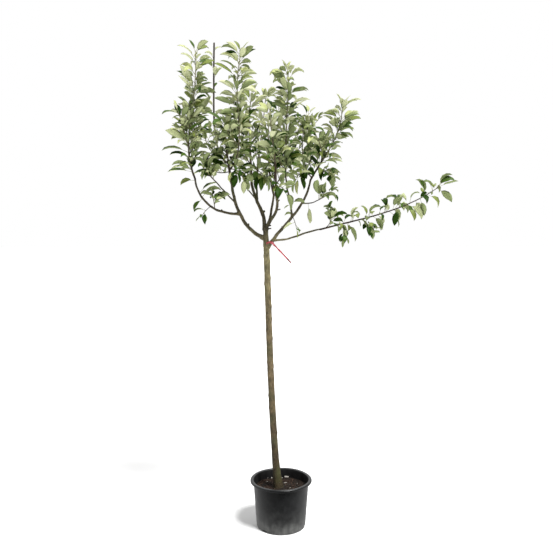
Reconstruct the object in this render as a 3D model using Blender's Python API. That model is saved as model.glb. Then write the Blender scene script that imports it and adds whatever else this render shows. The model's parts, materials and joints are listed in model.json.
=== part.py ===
# Half-standard apple tree in a round nursery pot, one solid for each part of the plant.

import math
import random

import bmesh
import bpy
import numpy as np

# Driving sizes, metres. The origin is the middle of the pot's flat underside.
GAP = 0.0003
MERGE = 0.000001
JOIN_GROUP = 24
POT_HEIGHT = 0.228
POT_RIM_RADIUS = 0.150
POT_TOP_RADIUS = 0.1345
POT_FOOT_RADIUS = 0.119
POT_WALL = 0.0022
POT_FLOOR = 0.003
POT_SIDES = 40
LIP_HEIGHT = 0.0105
FOOT_THICKNESS = 0.0075
NOTCH_ANGLES = (-132.0, -12.0, 108.0)
NOTCH_SIZE = (0.014, 0.028, 0.010)
NOTCH_DEPTH = 0.0056

SOIL_LEVEL = 0.186
SOIL_RELIEF = 0.005
SOIL_RINGS = 6
SOIL_SEED = 12

TRUNK_FOOT = (-0.0144, 0.0, SOIL_LEVEL + GAP)
TRUNK_COURSE = (0, 0, -5.4, -0.3, -2.4)
TRUNK_LENGTH = 1.268
TRUNK_RADIUS_LOW = 0.0168
TRUNK_RADIUS_HIGH = 0.0150
TRUNK_FLARE = 0.0100
TRUNK_FLARE_HEIGHT = 0.055
TRUNK_STEPS = 18
TRUNK_SIDES = 14
# The neck: where the stem starts to narrow, is narrowest and ends as the crown's seat.
NECK_PLACES = (0.930, 0.972, 1.0)
NECK_CHANGES = (0.0, -0.0032, -0.0008)
LIMB_SIDES = 8
STEM_SIDES = 5
SHOOT_SIDES = 3
STEM_FOOT = 0.005
SPUR_SIDES = 3
SPUR_RADIUS = 0.0017

LABEL_PLACE = 0.110
LABEL_WIDTH = 0.008
LABEL_THICKNESS = 0.0009
# The strip leaves the ring to the front, bends down and runs out; azimuth and lean.
LABEL_EXIT = (-75.0, 100.0)
LABEL_DROP = 0.007
LABEL_DROP_COURSE = (-60.0, 140.0)
LABEL_TAIL = 0.128
LABEL_COURSE = (-8.0, 136.5)

# A course is the azimuth at the start and end of a limb, then its lean from upright
# at the start, middle and end, all in degrees.
# Each row: name, parent, place along the parent, course, length, start and end radius.
LIMBS = [
    ("left_bough", "trunk", 0.956, (172, 242, 72, 11, 14), 0.357, 0.0090, 0.0060),
    ("right_bough", "trunk", 0.915, (-10, 36, 31, 58, 12), 0.397, 0.0086, 0.0046),
    ("mid_left_bough", "top", (-0.0050, -0.0010), (168, 115, -3, 62, -7), 0.280, 0.0090, 0.0060),
    ("mid_right_front_bough", "top", (0.0052, -0.0058), (-2, -121, 31, 49, 22), 0.182, 0.0074, 0.0054),
    ("mid_right_back_bough", "top", (0.0046, 0.0064), (54, 74, 43, 9, 28), 0.169, 0.0066, 0.0052),
    ("far_left_limb", "left_bough", 0.496, (-170, -124, 92, 66, 11), 0.298, 0.0062, 0.0042),
    ("left_twig", "left_bough", 0.640, (-137, -139, 47, 56, 48), 0.142, 0.0038, 0.0028),
    ("mid_left_fork", "mid_left_bough", 0.493, (83, 102, 18, 60, 24), 0.073, 0.0058, 0.0052),
    ("right_upright_limb", "right_bough", 0.496, (-128, -109, 0, 45, 15), 0.196, 0.0050, 0.0038),
    ("lateral_limb", "right_bough", 0.136, (-5, -12, 94, 53, 84), 0.233, 0.0048, 0.0040),
    ("right_twig", "right_bough", 0.709, (-31, -56, 98, 88, 72), 0.087, 0.0030, 0.0023),
]
LIMB_STEPS = {"far_left_limb": 12, "left_bough": 12, "right_bough": 12, "mid_left_bough": 9}

# How leaves stand: spacing, length with the stalk, rise from the twig, droop of the outer half.
HABITS = {
    "upright": (0.0215, 0.100, 51, 52),
    "inner": (0.0290, 0.094, 54, 54),
    "young": (0.0280, 0.086, 46, 42),
    "old": (0.0300, 0.088, 62, 62),
    "sparse": (0.0750, 0.074, 48, 50),
    "hanging": (0.0230, 0.096, 64, 95),
    "cluster": (0.0160, 0.078, 56, 70),
}
LEAF_WIDTH_SHARE = 0.45
LEAF_THICKNESS_SHARE = 0.020
LEAF_TURN = 137.5
LEAF_SINK = 0.0006
LEAF_CLEARANCE = 0.004
OWN_SPACE_MARGIN = 0.0035
SPUR_LEAVES = 5
SPUR_LENGTH = 0.066

# Each mass: its limb, then its shoots. A shoot: name, parent, place, course, length,
# start and end radius, habit, seed, side spurs and the share that bears no leaf.
MASSES = [
    ("far_left_spray", "far_left_limb", [
        ("far_left_whip", "tip", 1.0, (25, -68, -24, 35, -7), 0.565, 0.0042, 0.0011,
         "upright", 244, 3, 0.03),
        ("far_left_inner", "far_left_whip", 0.183, (75, 75, 37, 27, 25), 0.260, 0.0022, 0.0010,
         "young", 248, 0, 0.10),
        ("far_left_outer", "far_left_whip", 0.238, (-105, -127, 31, 27, 27), 0.175, 0.0022, 0.0010,
         "young", 212, 0, 0.10),
    ]),
    ("left_spray", "left_bough", [
        ("left_stem", "tip", 1.0, (192, 74, 10, 5, 21), 0.225, 0.0058, 0.0018, "old", 169, 4, 0.08),
        ("left_front_whip", "left_stem", 0.102, (-44, -168, 55, 0, -11), 0.552, 0.0034, 0.0011,
         "upright", 212, 2, 0.12),
        ("left_bare_whip", "left_stem", 0.243, (124, 74, 70, -9, 5), 0.701, 0.0030, 0.0012,
         "sparse", 129, 1, 0.15),
        ("left_back_whip", "left_bare_whip", 0.104, (146, 128, 83, 13, 29), 0.237, 0.0020, 0.0010,
         "young", 262, 0, 0.15),
        ("left_low_side", "left_stem", 0.080, (159, 143, 101, 88, 39), 0.124, 0.0022, 0.0011,
         "cluster", 281, 0, 0.25),
        ("left_inner_side", "left_stem", 0.120, (-57, -31, 80, 122, 146), 0.127, 0.0022, 0.0011,
         "cluster", 187, 0, 0.25),
        ("left_front_side", "left_front_whip", 0.259, (-104, -158, 82, 52, 23), 0.129, 0.0018, 0.0010,
         "cluster", 158, 0, 0.20),
    ]),
    ("mid_left_spray", "mid_left_bough", [
        ("mid_left_whip", "tip", 1.0, (141, 346, 4, -2, 19), 0.360, 0.0058, 0.0012,
         "inner", 155, 2, 0.10),
        ("mid_left_back", "mid_left_whip", 0.07, (125, 88, 46, 57, 9), 0.274, 0.0026, 0.0010,
         "young", 262, 2, 0.20),
        ("mid_left_side", "mid_left_whip", 0.04, (-55, -43, 93, 122, 139), 0.128, 0.0022, 0.0011,
         "cluster", 190, 0, 0.30),
    ]),
    ("mid_fork_spray", "mid_left_fork", [
        ("mid_fork_whip", "tip", 1.0, (86, 63, 26, 27, 9), 0.495, 0.0050, 0.0012,
         "inner", 146, 4, 0.15),
    ]),
    ("mid_back_spray", "mid_right_back_bough", [
        ("mid_back_whip", "tip", 1.0, (116, 74, 31, 15, 20), 0.480, 0.0050, 0.0012,
         "inner", 185, 3, 0.18),
        ("mid_back_inner", "mid_back_whip", 0.04, (68, 43, 12, 18, -7), 0.420, 0.0032, 0.0011,
         "inner", 112, 1, 0.26),
        ("mid_back_right", "mid_back_whip", 0.06, (32, 82, 36, 46, 16), 0.395, 0.0030, 0.0011,
         "inner", 105, 2, 0.22),
    ]),
    ("mid_front_spray", "mid_right_front_bough", [
        ("mid_front_whip", "tip", 1.0, (-84, -126, 18, 37, 1), 0.365, 0.0052, 0.0012,
         "inner", 155, 2, 0.20),
        ("mid_front_twig", "mid_front_whip", 0.03, (-50, -57, 34, 97, 135), 0.072, 0.0020, 0.0011,
         "cluster", 291, 0, 0.40),
    ]),
    ("right_upright_spray", "right_upright_limb", [
        ("right_upright_whip", "tip", 1.0, (-91, -64, 5, 20, -5), 0.470, 0.0038, 0.0011,
         "upright", 183, 1, 0.05),
        ("right_upright_side", "right_upright_whip", 0.07, (-133, -95, 74, 48, 12), 0.122, 0.0020,
         0.0011, "cluster", 164, 0, 0.25),
    ]),
    ("right_spray", "right_bough", [
        ("right_whip", "tip", 1.0, (-4, -43, 28, 48, -4), 0.385, 0.0045, 0.0011,
         "upright", 129, 1, 0.16),
        ("right_back_whip", "right_whip", 0.03, (136, 43, 47, 4, 36), 0.382, 0.0028, 0.0010,
         "inner", 118, 1, 0.10),
        ("right_back_side", "right_back_whip", 0.556, (-23, -43, 32, 41, 49), 0.130, 0.0016, 0.0010,
         "young", 178, 0, 0.20),
        ("right_low_side", "right_whip", 0.148, (-52, -40, 90, 118, 128), 0.102, 0.0020, 0.0011,
         "cluster", 230, 0, 0.30),
        ("right_front_side", "right_whip", 0.237, (-77, -139, 45, 61, 34), 0.200, 0.0022, 0.0010,
         "young", 120, 0, 0.15),
        ("right_inner_side", "right_whip", 0.04, (-142, -117, 61, 83, 142), 0.132, 0.0022, 0.0011,
         "cluster", 136, 0, 0.25),
        ("right_back_short", "right_whip", 0.10, (141, 52, 44, 31, 36), 0.154, 0.0020, 0.0011,
         "cluster", 281, 0, 0.25),
    ]),
    ("right_twig_spray", "right_twig", [
        ("right_twig_end", "tip", 1.0, (-32, -10, 70, 62, 55), 0.077, 0.0022, 0.0011,
         "cluster", 216, 0, 0.15),
    ]),
    ("lateral_spray", "lateral_limb", [
        ("lateral_shoot", "tip", 1.0, (-6, -5, 75, 82, 53), 0.580, 0.0039, 0.0012,
         "hanging", 143, 0, 0.03),
        ("lateral_up_side", "lateral_shoot", 0.033, (43, -102, 63, 12, -58), 0.105, 0.0018, 0.0010,
         "cluster", 136, 0, 0.25),
        ("lateral_low_side", "lateral_shoot", 0.163, (-44, -70, 135, 156, 168), 0.058, 0.0015, 0.0010,
         "sparse", 176, 0, 0.60),
        ("lateral_far_side", "lateral_shoot", 0.339, (-32, -37, 139, 148, 153), 0.070, 0.0015, 0.0010,
         "cluster", 227, 0, 0.35),
    ]),
    ("left_twig_spray", "left_twig", [
        ("left_twig_end", "tip", 1.0, (-139, -147, 54, 49, 43), 0.090, 0.0027, 0.0011,
         "cluster", 218, 0, 0.20),
    ]),
    ("left_spur_spray", "far_left_limb", [
        ("left_spur", 0.422, 0.0, (-84, -122, 57, 20, 16), 0.071, 0.0018, 0.0011,
         "cluster", 164, 0, 0.20),
    ]),
    ("low_left_spray", "far_left_limb", [
        ("low_left_twig", 0.494, 0.0, (-121, -137, 115, 124, 143), 0.060, 0.0015, 0.0010,
         "sparse", 165, 0, 0.50),
    ]),
    ("drooping_spray", "right_bough", [
        ("drooping_twig", 0.506, 0.0, (-74, -63, 119, 142, 157), 0.069, 0.0014, 0.0010,
         "sparse", 300, 0, 0.50),
    ]),
]


# Lines of growth

def heading(azimuth, lean):
    a = math.radians(azimuth)
    b = math.radians(lean)
    return np.array([math.cos(a) * math.sin(b), math.sin(a) * math.sin(b), math.cos(b)])


def unit(vector):
    return vector / max(np.linalg.norm(vector), 1e-9)


def grow_line(start, course, length, steps):
    azimuth0, azimuth1, lean0, lean_mid, lean1 = course
    line = [np.array(start, float)]
    for i in range(steps):
        t = (i + 0.5) / steps
        azimuth = azimuth0 + (azimuth1 - azimuth0) * t
        lean = lean0 * (1 - t) ** 2 + 2 * lean_mid * t * (1 - t) + lean1 * t * t
        line.append(line[-1] + heading(azimuth, lean) * length / steps)
    return np.array(line)


def point_at(line, place):
    f = min(max(place, 0.0), 1.0) * (len(line) - 1)
    i = min(int(f), len(line) - 2)
    return line[i] + (line[i + 1] - line[i]) * (f - i)


def direction_at(line, place):
    f = min(max(place, 0.0), 1.0) * (len(line) - 1)
    i = min(int(f), len(line) - 2)
    return unit(line[i + 1] - line[i])


def side_of(direction, turn):
    across = unit(np.cross(direction, (0.31, 0.95, 0.05)))
    up = np.cross(across, direction)
    a = math.radians(turn)
    return across * math.cos(a) + up * math.sin(a)


def trunk_radius(place):
    height = place * TRUNK_LENGTH
    radius = TRUNK_RADIUS_LOW + (TRUNK_RADIUS_HIGH - TRUNK_RADIUS_LOW) * place
    radius += TRUNK_FLARE * math.exp(-height / TRUNK_FLARE_HEIGHT)
    return radius + float(np.interp(place, NECK_PLACES, NECK_CHANGES))


def plan_limbs():
    # Rings stand closer at the flare, and one stands at the narrowest place of the neck.
    steps = np.linspace(0.0, 1.0, TRUNK_STEPS + 1) ** 1.5
    steps = np.sort(np.append(steps, NECK_PLACES[1]))
    fine = grow_line(TRUNK_FOOT, TRUNK_COURSE, TRUNK_LENGTH, 88)
    line = np.array([point_at(fine, s) for s in steps])
    radii = np.array([trunk_radius(s) for s in steps])
    limbs = {"trunk": {"line": fine, "rings": line, "radii": radii, "parent": None}}
    for name, parent, place, course, length, radius0, radius1 in LIMBS:
        if parent == "top":
            start = fine[-1] + np.array([place[0], place[1], GAP])
        else:
            start = point_at(limbs[parent]["line"], place)
        steps = LIMB_STEPS.get(name, 8)
        line = grow_line(start, course, length, 24)
        rings = np.array([point_at(line, i / steps) for i in range(steps + 1)])
        radii = np.linspace(radius0, radius1, steps + 1)
        limbs[name] = {"line": line, "rings": rings, "radii": radii, "parent": parent}
    return limbs


def plan_shoots(limbs):
    shoots = {}
    for mass, limb, rows in MASSES:
        for row in rows:
            (name, parent, place, course, length, radius0, radius1,
             habit, seed, spurs, bare) = row
            foot = None
            if parent == "tip":
                # The foot stands square on the limb's end.
                end = limbs[limb]["rings"]
                aim = unit(end[-1] - end[-2])
                foot = end[-1] + aim * GAP
                start = foot + aim * STEM_FOOT
            elif isinstance(parent, float):
                # A spur on the side of a limb stands clear of its bark.
                on_limb = limbs[limb]
                radius = np.interp(parent, np.linspace(0, 1, len(on_limb["radii"])), on_limb["radii"])
                aim = heading(course[0], course[2])
                slope = abs(float(aim @ direction_at(on_limb["line"], parent)))
                stand = (radius + GAP + radius0 * slope) / math.sqrt(1.0 - slope * slope)
                start = point_at(on_limb["line"], parent) + aim * stand
            else:
                start = point_at(shoots[parent]["line"], place)
            steps = max(3, round(length / 0.060))
            line = grow_line(start, course, length, max(12, 2 * steps))
            rings = np.array([point_at(line, i / steps) for i in range(steps + 1)])
            radii = np.linspace(1.0, 0.0, steps + 1) ** 0.8 * (radius0 - radius1) + radius1
            if foot is not None:
                rings = np.concatenate([[foot], rings])
                radii = np.concatenate([[radius0], radii])
            shoots[name] = {"mass": mass, "line": line, "rings": rings, "radii": radii,
                            "length": length, "habit": habit, "seed": seed, "spurs": spurs,
                            "bare": bare}
    return shoots


def samples(line, spacing):
    total = np.linalg.norm(np.diff(line, axis=0), axis=1).sum()
    count = max(2, int(total / spacing))
    return np.array([point_at(line, i / count) for i in range(count + 1)])


def plan_spaces(limbs, shoots):
    spaces = {}
    for shoot in shoots.values():
        spaces.setdefault(shoot["mass"], []).append(samples(shoot["line"], 0.010))
    spaces = {mass: np.concatenate(parts) for mass, parts in spaces.items()}
    wood = []
    reach = []
    for limb in limbs.values():
        points = samples(limb["line"], 0.005)
        wood.append(points)
        reach.append(np.interp(np.linspace(0, 1, len(points)),
                               np.linspace(0, 1, len(limb["radii"])), limb["radii"]))
    return spaces, np.concatenate(wood), np.concatenate(reach)


def nearest(points, cloud):
    return np.sqrt(((points[:, None, :] - cloud[None, :, :]) ** 2).sum(2)).min(1)


def make_room_test(mass, spaces, wood, reach):
    own = spaces[mass]
    others = np.concatenate([cloud for name, cloud in spaces.items() if name != mass])

    def has_room(points, clearance=LEAF_CLEARANCE):
        points = np.array(points)
        to_own = nearest(points, own)
        to_others = nearest(points, others)
        if np.any(to_own + OWN_SPACE_MARGIN > to_others):
            return False
        gaps = np.sqrt(((points[:, None, :] - wood[None, :, :]) ** 2).sum(2)) - reach[None, :]
        return bool(gaps.min() > clearance)

    return has_room


# Leaves

def lay_leaf(foot, twig, turn, rise, droop, roll, size):
    out = side_of(twig, turn)
    a = math.radians(rise)
    first = unit(twig * math.cos(a) + out * math.sin(a))
    down = np.array([0.0, 0.0, -1.0])
    across = unit(np.cross(first, down) + out * 1e-4)
    fall = math.acos(max(-1.0, min(1.0, float(first @ down))))
    bend = min(math.radians(droop), fall)
    second = first * math.cos(bend) + np.cross(-across, first) * math.sin(bend) * -1.0
    if second @ down < first @ down:
        second = first * math.cos(bend) + np.cross(-across, first) * math.sin(bend)
    r = math.radians(roll)
    face = np.cross(across, first)
    across = across * math.cos(r) + face * math.sin(r)
    face = unit(np.cross(across, first))
    if face[2] < 0:
        face = -face
    middle = foot + first * size * 0.58
    tip = middle + unit(second) * size * 0.42
    half = across * size * LEAF_WIDTH_SHARE * 0.5
    thick = face * size * LEAF_THICKNESS_SHARE * 0.5
    return {"foot": foot, "first": first, "middle": middle, "tip": tip,
            "left": middle - half, "right": middle + half,
            "top": middle + thick, "under": middle - thick, "size": size}


def leaf_marks(leaf):
    marks = [leaf["middle"], leaf["tip"], leaf["left"], leaf["right"]]
    marks.append((leaf["left"] + leaf["tip"]) / 2)
    marks.append((leaf["right"] + leaf["tip"]) / 2)
    marks.append(leaf["foot"] * 0.4 + leaf["middle"] * 0.6)
    marks.append((leaf["left"] + leaf["middle"]) / 2)
    marks.append((leaf["right"] + leaf["middle"]) / 2)
    marks.append((leaf["middle"] + leaf["tip"]) / 2)
    return marks


def fit_leaf(foot, twig, turn, rise, droop, roll, size, has_room):
    for share in (1.0, 0.82, 0.66):
        leaf = lay_leaf(foot, twig, turn, rise, droop, roll, size * share)
        if has_room(leaf_marks(leaf)):
            return leaf
    return None


def dress_line(line, length, habit, bare, rng, has_room):
    spacing, size, rise, droop = HABITS[habit]
    leaves = []
    reach = bare * length + spacing * rng.uniform(0.2, 0.8)
    turn = rng.uniform(0, 360)
    while reach < length - 0.006:
        place = reach / length
        full = size * rng.uniform(0.82, 1.15)
        own_rise = rise + rng.uniform(-14, 14)
        own_droop = droop + rng.uniform(-22, 22)
        roll = rng.uniform(-62, 62)
        leaf = fit_leaf(point_at(line, place), direction_at(line, place), turn,
                        own_rise, own_droop, roll, full, has_room)
        if leaf:
            leaves.append(leaf)
        reach += spacing * rng.uniform(0.8, 1.25)
        turn += LEAF_TURN + rng.uniform(-18, 18)
    # Two small leaves close the end, save on a whip that the season has left bare.
    for i in range(0 if habit == "sparse" and length > 0.3 else 2):
        leaf = fit_leaf(point_at(line, 0.99), direction_at(line, 1.0), turn + 180 * i,
                        20 + 14 * i, 16, 10, size * (0.62 if habit != "hanging" else 0.95), has_room)
        if leaf:
            leaves.append(leaf)
    return leaves


def dress_shoot(shoot, has_room):
    rng = random.Random(shoot["seed"])
    leaves = dress_line(shoot["line"], shoot["length"], shoot["habit"], shoot["bare"], rng, has_room)
    spurs = []
    turn = rng.uniform(0, 360)
    for i in range(shoot["spurs"]):
        place = 0.07 + 0.50 * (i + rng.uniform(0.2, 0.8)) / shoot["spurs"]
        aim = direction_at(shoot["line"], place)
        lean = math.radians(rng.uniform(42, 62))
        out = unit(aim * math.cos(lean) + side_of(aim, turn) * math.sin(lean))
        span = SPUR_LENGTH * rng.uniform(0.7, 1.35)
        foot = point_at(shoot["line"], place)
        bent = unit(out + np.array([0.0, 0.0, 0.35]))
        line = np.array([foot, foot + out * span * 0.5, foot + out * span * 0.5 + bent * span * 0.5])
        own = random.Random(rng.random())
        turn += LEAF_TURN
        if not has_room(line[1:], 0.006):
            continue
        spurs.append(line)
        leaves += dress_line(line, span, "cluster", 0.25, own, has_room)[:SPUR_LEAVES]
    return leaves, spurs


# Solids

def clear_scene():
    for obj in list(bpy.data.objects):
        bpy.data.objects.remove(obj, do_unlink=True)


def make_material(name, colour, roughness):
    material = bpy.data.materials.new(name)
    material.use_nodes = True
    shader = material.node_tree.nodes["Principled BSDF"]
    shader.inputs["Base Color"].default_value = (colour[0], colour[1], colour[2], 1.0)
    shader.inputs["Roughness"].default_value = roughness
    shader.inputs["Metallic"].default_value = 0.0
    return material


def make_object(name, verts, faces, material=None, smooth=False):
    mesh = bpy.data.meshes.new(name)
    mesh.from_pydata([tuple(v) for v in verts], [], faces)
    work = bmesh.new()
    work.from_mesh(mesh)
    bmesh.ops.recalc_face_normals(work, faces=work.faces[:])
    if work.calc_volume(signed=True) < 0:
        bmesh.ops.reverse_faces(work, faces=work.faces[:])
    work.to_mesh(mesh)
    work.free()
    if smooth:
        mesh.shade_smooth()
        mesh.set_sharp_from_angle(angle=math.radians(40))
    obj = bpy.data.objects.new(name, mesh)
    bpy.context.scene.collection.objects.link(obj)
    if material:
        mesh.materials.append(material)
    return obj


def tube_parts(rings, radii, sides, grow=0.0, extend=0.0):
    verts = []
    faces = []
    count = len(rings)
    normal = None
    for i in range(count):
        if i == 0:
            along = unit(rings[1] - rings[0])
        elif i == count - 1:
            along = unit(rings[-1] - rings[-2])
        else:
            along = unit(unit(rings[i + 1] - rings[i]) + unit(rings[i] - rings[i - 1]))
        if normal is None:
            normal = side_of(along, 0.0)
        normal = unit(normal - along * float(normal @ along))
        other = np.cross(along, normal)
        centre = rings[i]
        if i == 0:
            centre = centre - along * extend
        if i == count - 1:
            centre = centre + along * extend
        for k in range(sides):
            a = 2 * math.pi * k / sides
            verts.append(centre + (normal * math.cos(a) + other * math.sin(a)) * (radii[i] + grow))
    for i in range(count - 1):
        for k in range(sides):
            a = i * sides + k
            b = i * sides + (k + 1) % sides
            faces.append((a, b, b + sides, a + sides))
    faces.append(tuple(range(sides))[::-1])
    faces.append(tuple(range((count - 1) * sides, count * sides)))
    return verts, faces


def make_tube(name, rings, radii, sides, material=None, grow=0.0, extend=0.0):
    verts, faces = tube_parts(rings, radii, sides, grow, extend)
    return make_object(name, verts, faces, material, smooth=True)


def drop_object(obj):
    mesh = obj.data
    bpy.data.objects.remove(obj, do_unlink=True)
    bpy.data.meshes.remove(mesh)


def apply_boolean(target, operation, operand, solver="EXACT"):
    step = target.modifiers.new("shape", "BOOLEAN")
    step.operation = operation
    step.solver = solver
    if isinstance(operand, bpy.types.Collection):
        step.operand_type = "COLLECTION"
        step.collection = operand
    else:
        step.object = operand
    bpy.context.view_layer.objects.active = target
    bpy.ops.object.modifier_apply(modifier=step.name)


def cut_with(target, cutters):
    for cutter in cutters:
        cutter.hide_render = True
        cutter.display_type = "WIRE"
        apply_boolean(target, "DIFFERENCE", cutter)
        drop_object(cutter)
    keep_largest_piece(target)


def keep_largest_piece(obj):
    work = bmesh.new()
    work.from_mesh(obj.data)
    left = set(work.faces)
    pieces = []
    while left:
        seed = left.pop()
        piece = {seed}
        queue = [seed]
        while queue:
            face = queue.pop()
            for edge in face.edges:
                if len(edge.link_faces) != 2:
                    continue
                for other in edge.link_faces:
                    if other in left:
                        left.discard(other)
                        piece.add(other)
                        queue.append(other)
        pieces.append(piece)
    if len(pieces) > 1:
        sizes = []
        for piece in pieces:
            points = np.array([v.co[:] for face in piece for v in face.verts])
            sizes.append(float(np.prod(points.max(0) - points.min(0) + 1e-6)))
        keep = pieces[sizes.index(max(sizes))]
        scraps = [face for piece in pieces if piece is not keep for face in piece]
        bmesh.ops.delete(work, geom=scraps, context="FACES")
    work.to_mesh(obj.data)
    work.free()


def is_sound(obj):
    # One closed body, also once points closer than a hundredth of a millimetre are one.
    work = bmesh.new()
    work.from_mesh(obj.data)
    bmesh.ops.remove_doubles(work, verts=work.verts[:], dist=MERGE)
    bmesh.ops.dissolve_degenerate(work, edges=work.edges[:], dist=MERGE)
    bmesh.ops.triangulate(work, faces=work.faces[:])
    sound = len(work.faces) > 0 and all(len(edge.link_faces) == 2 for edge in work.edges)
    sound = sound and work.calc_volume(signed=True) > 0
    if sound:
        work.faces.ensure_lookup_table()
        reached = {work.faces[0]}
        queue = [work.faces[0]]
        while queue:
            for edge in queue.pop().edges:
                for other in edge.link_faces:
                    if other not in reached:
                        reached.add(other)
                        queue.append(other)
        sound = len(reached) == len(work.faces)
    if sound:
        work.to_mesh(obj.data)
    work.free()
    return sound


def pot_wall_profile():
    # Outer side from the middle of the underside up to the lip, then down the inside.
    lip = POT_HEIGHT - LIP_HEIGHT
    outer = [(POT_FOOT_RADIUS - 0.0030, 0.0),
             (POT_FOOT_RADIUS, 0.0030),
             (POT_TOP_RADIUS - 0.0005, lip - 0.0070),
             (POT_TOP_RADIUS + 0.0010, lip - 0.0064),
             (POT_TOP_RADIUS + 0.0012, POT_HEIGHT - 0.0035),
             (POT_RIM_RADIUS - 0.0030, POT_HEIGHT - 0.0040),
             (POT_RIM_RADIUS - 0.0028, lip + 0.0006),
             (POT_RIM_RADIUS - 0.0012, lip),
             (POT_RIM_RADIUS, lip + 0.0018),
             (POT_RIM_RADIUS, POT_HEIGHT - 0.0042),
             (POT_RIM_RADIUS - 0.0014, POT_HEIGHT - 0.0012),
             (POT_RIM_RADIUS - 0.0042, POT_HEIGHT)]
    inner = [(POT_TOP_RADIUS + 0.0020, POT_HEIGHT),
             (POT_TOP_RADIUS + 0.0002 - POT_WALL * 0.5, POT_HEIGHT - 0.0016),
             (POT_TOP_RADIUS - POT_WALL, lip - 0.0080)]
    return outer, inner


def pot_inside():
    # Radius and height down the inside, from the collar to the floor.
    return [(POT_TOP_RADIUS - POT_WALL, POT_HEIGHT - LIP_HEIGHT - 0.0080),
            (POT_FOOT_RADIUS - POT_WALL + 0.0014, 0.0220),
            (POT_FOOT_RADIUS - FOOT_THICKNESS, 0.0120),
            (POT_FOOT_RADIUS - FOOT_THICKNESS, POT_FLOOR)]


def turn_profile(profile, sides):
    # The profile starts and ends on the axis; both ends close to one point.
    verts = []
    faces = []
    inner = profile[1:-1]
    verts.append((0.0, 0.0, profile[0][1]))
    for radius, height in inner:
        for k in range(sides):
            a = 2 * math.pi * k / sides
            verts.append((radius * math.cos(a), radius * math.sin(a), height))
    verts.append((0.0, 0.0, profile[-1][1]))
    last = len(verts) - 1
    for k in range(sides):
        faces.append((0, 1 + (k + 1) % sides, 1 + k))
    for i in range(len(inner) - 1):
        for k in range(sides):
            a = 1 + i * sides + k
            b = 1 + i * sides + (k + 1) % sides
            faces.append((a, b, b + sides, a + sides))
    base = 1 + (len(inner) - 1) * sides
    for k in range(sides):
        faces.append((base + k, base + (k + 1) % sides, last))
    return verts, faces


def make_pot(material):
    outer, inner = pot_wall_profile()
    profile = [(0.0, 0.0)] + outer + inner[:2] + pot_inside() + [(0.0, POT_FLOOR)]
    verts, faces = turn_profile(profile, POT_SIDES)
    pot = make_object("pot", verts, faces, material, smooth=True)
    cutters = []
    deep, wide, high = NOTCH_SIZE
    for angle in NOTCH_ANGLES:
        bpy.ops.mesh.primitive_cube_add(size=1.0)
        notch = bpy.context.object
        a = math.radians(angle)
        radius = POT_FOOT_RADIUS - NOTCH_DEPTH + deep / 2
        notch.location = (radius * math.cos(a), radius * math.sin(a), high / 2 - 0.001)
        notch.rotation_euler = (0.0, 0.0, a)
        notch.scale = (deep, wide, high)
        bpy.context.view_layer.update()
        cutters.append(notch)
    cut_with(pot, cutters)
    return pot


def soil_height(x, y, bumps):
    away = math.hypot(x - TRUNK_FOOT[0], y - TRUNK_FOOT[1])
    fade = min(1.0, max(0.0, (away - 0.034) / 0.022))
    rough = 0.0
    for wave_x, wave_y, phase in bumps:
        rough += math.sin(wave_x * x + wave_y * y + phase)
    rough = rough / len(bumps)
    return SOIL_LEVEL + SOIL_RELIEF * fade * (rough - 0.55)


def make_soil(material):
    rng = random.Random(SOIL_SEED)
    bumps = [(rng.uniform(-95, 95), rng.uniform(-95, 95), rng.uniform(0, 6.3)) for _ in range(7)]
    verts = []
    faces = []
    sides = POT_SIDES
    wall = pot_inside()
    share = (SOIL_LEVEL - wall[1][1]) / (wall[0][1] - wall[1][1])
    rim = wall[1][0] + (wall[0][0] - wall[1][0]) * share - GAP - 0.0003
    rings = []
    for i in range(1, SOIL_RINGS + 1):
        ring = []
        for k in range(sides):
            a = 2 * math.pi * k / sides
            radius = rim * i / SOIL_RINGS
            x = radius * math.cos(a)
            y = radius * math.sin(a)
            height = soil_height(x, y, bumps)
            if i == SOIL_RINGS:
                height = SOIL_LEVEL - SOIL_RELIEF
            ring.append(len(verts))
            verts.append((x, y, height))
        rings.append(ring)
    for radius, height in wall[1:]:
        ring = []
        for k in range(sides):
            a = 2 * math.pi * k / sides
            ring.append(len(verts))
            verts.append(((radius - GAP) * math.cos(a), (radius - GAP) * math.sin(a),
                          height + (GAP if height <= POT_FLOOR else 0.0)))
        rings.append(ring)
    top = len(verts)
    verts.append((0.0, 0.0, soil_height(0.0, 0.0, bumps)))
    under = len(verts)
    verts.append((0.0, 0.0, POT_FLOOR + GAP))
    for k in range(sides):
        n = (k + 1) % sides
        faces.append((top, rings[0][k], rings[0][n]))
        faces.append((under, rings[-1][n], rings[-1][k]))
        for i in range(len(rings) - 1):
            faces.append((rings[i][k], rings[i + 1][k], rings[i + 1][n], rings[i][n]))
    return make_object("soil", verts, faces, material, smooth=True)


def make_limbs(limbs, bark):
    made = {}
    for name, limb in limbs.items():
        sides = TRUNK_SIDES if name == "trunk" else LIMB_SIDES
        obj = make_tube(name, limb["rings"], limb["radii"], sides, bark)
        if name == "trunk":
            level_trunk_ends(obj, limb["rings"])
        if limb["parent"] == "top":
            level_ring(obj, 0, LIMB_SIDES, limb["rings"][0][2])
        cutters = []
        low, high = box_of(limb["rings"], 0.02)
        for other, before in limbs.items():
            if other == name:
                break
            other_low, other_high = box_of(before["rings"], 0.02)
            if np.any(low > other_high) or np.any(other_low > high):
                continue
            if limb["parent"] == "top" and other == "trunk":
                continue
            if not lines_meet(limb, before):
                continue
            other_sides = TRUNK_SIDES if other == "trunk" else LIMB_SIDES
            cutter = make_tube("cutter", before["rings"], before["radii"], other_sides,
                               None, GAP, GAP)
            if before["parent"] == "top":
                level_ring(cutter, 0, LIMB_SIDES, before["rings"][0][2] - GAP)
            cutters.append(cutter)
        cut_with(obj, cutters)
        made[name] = obj
    return made


def box_of(points, margin):
    return points.min(0) - margin, points.max(0) + margin


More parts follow.
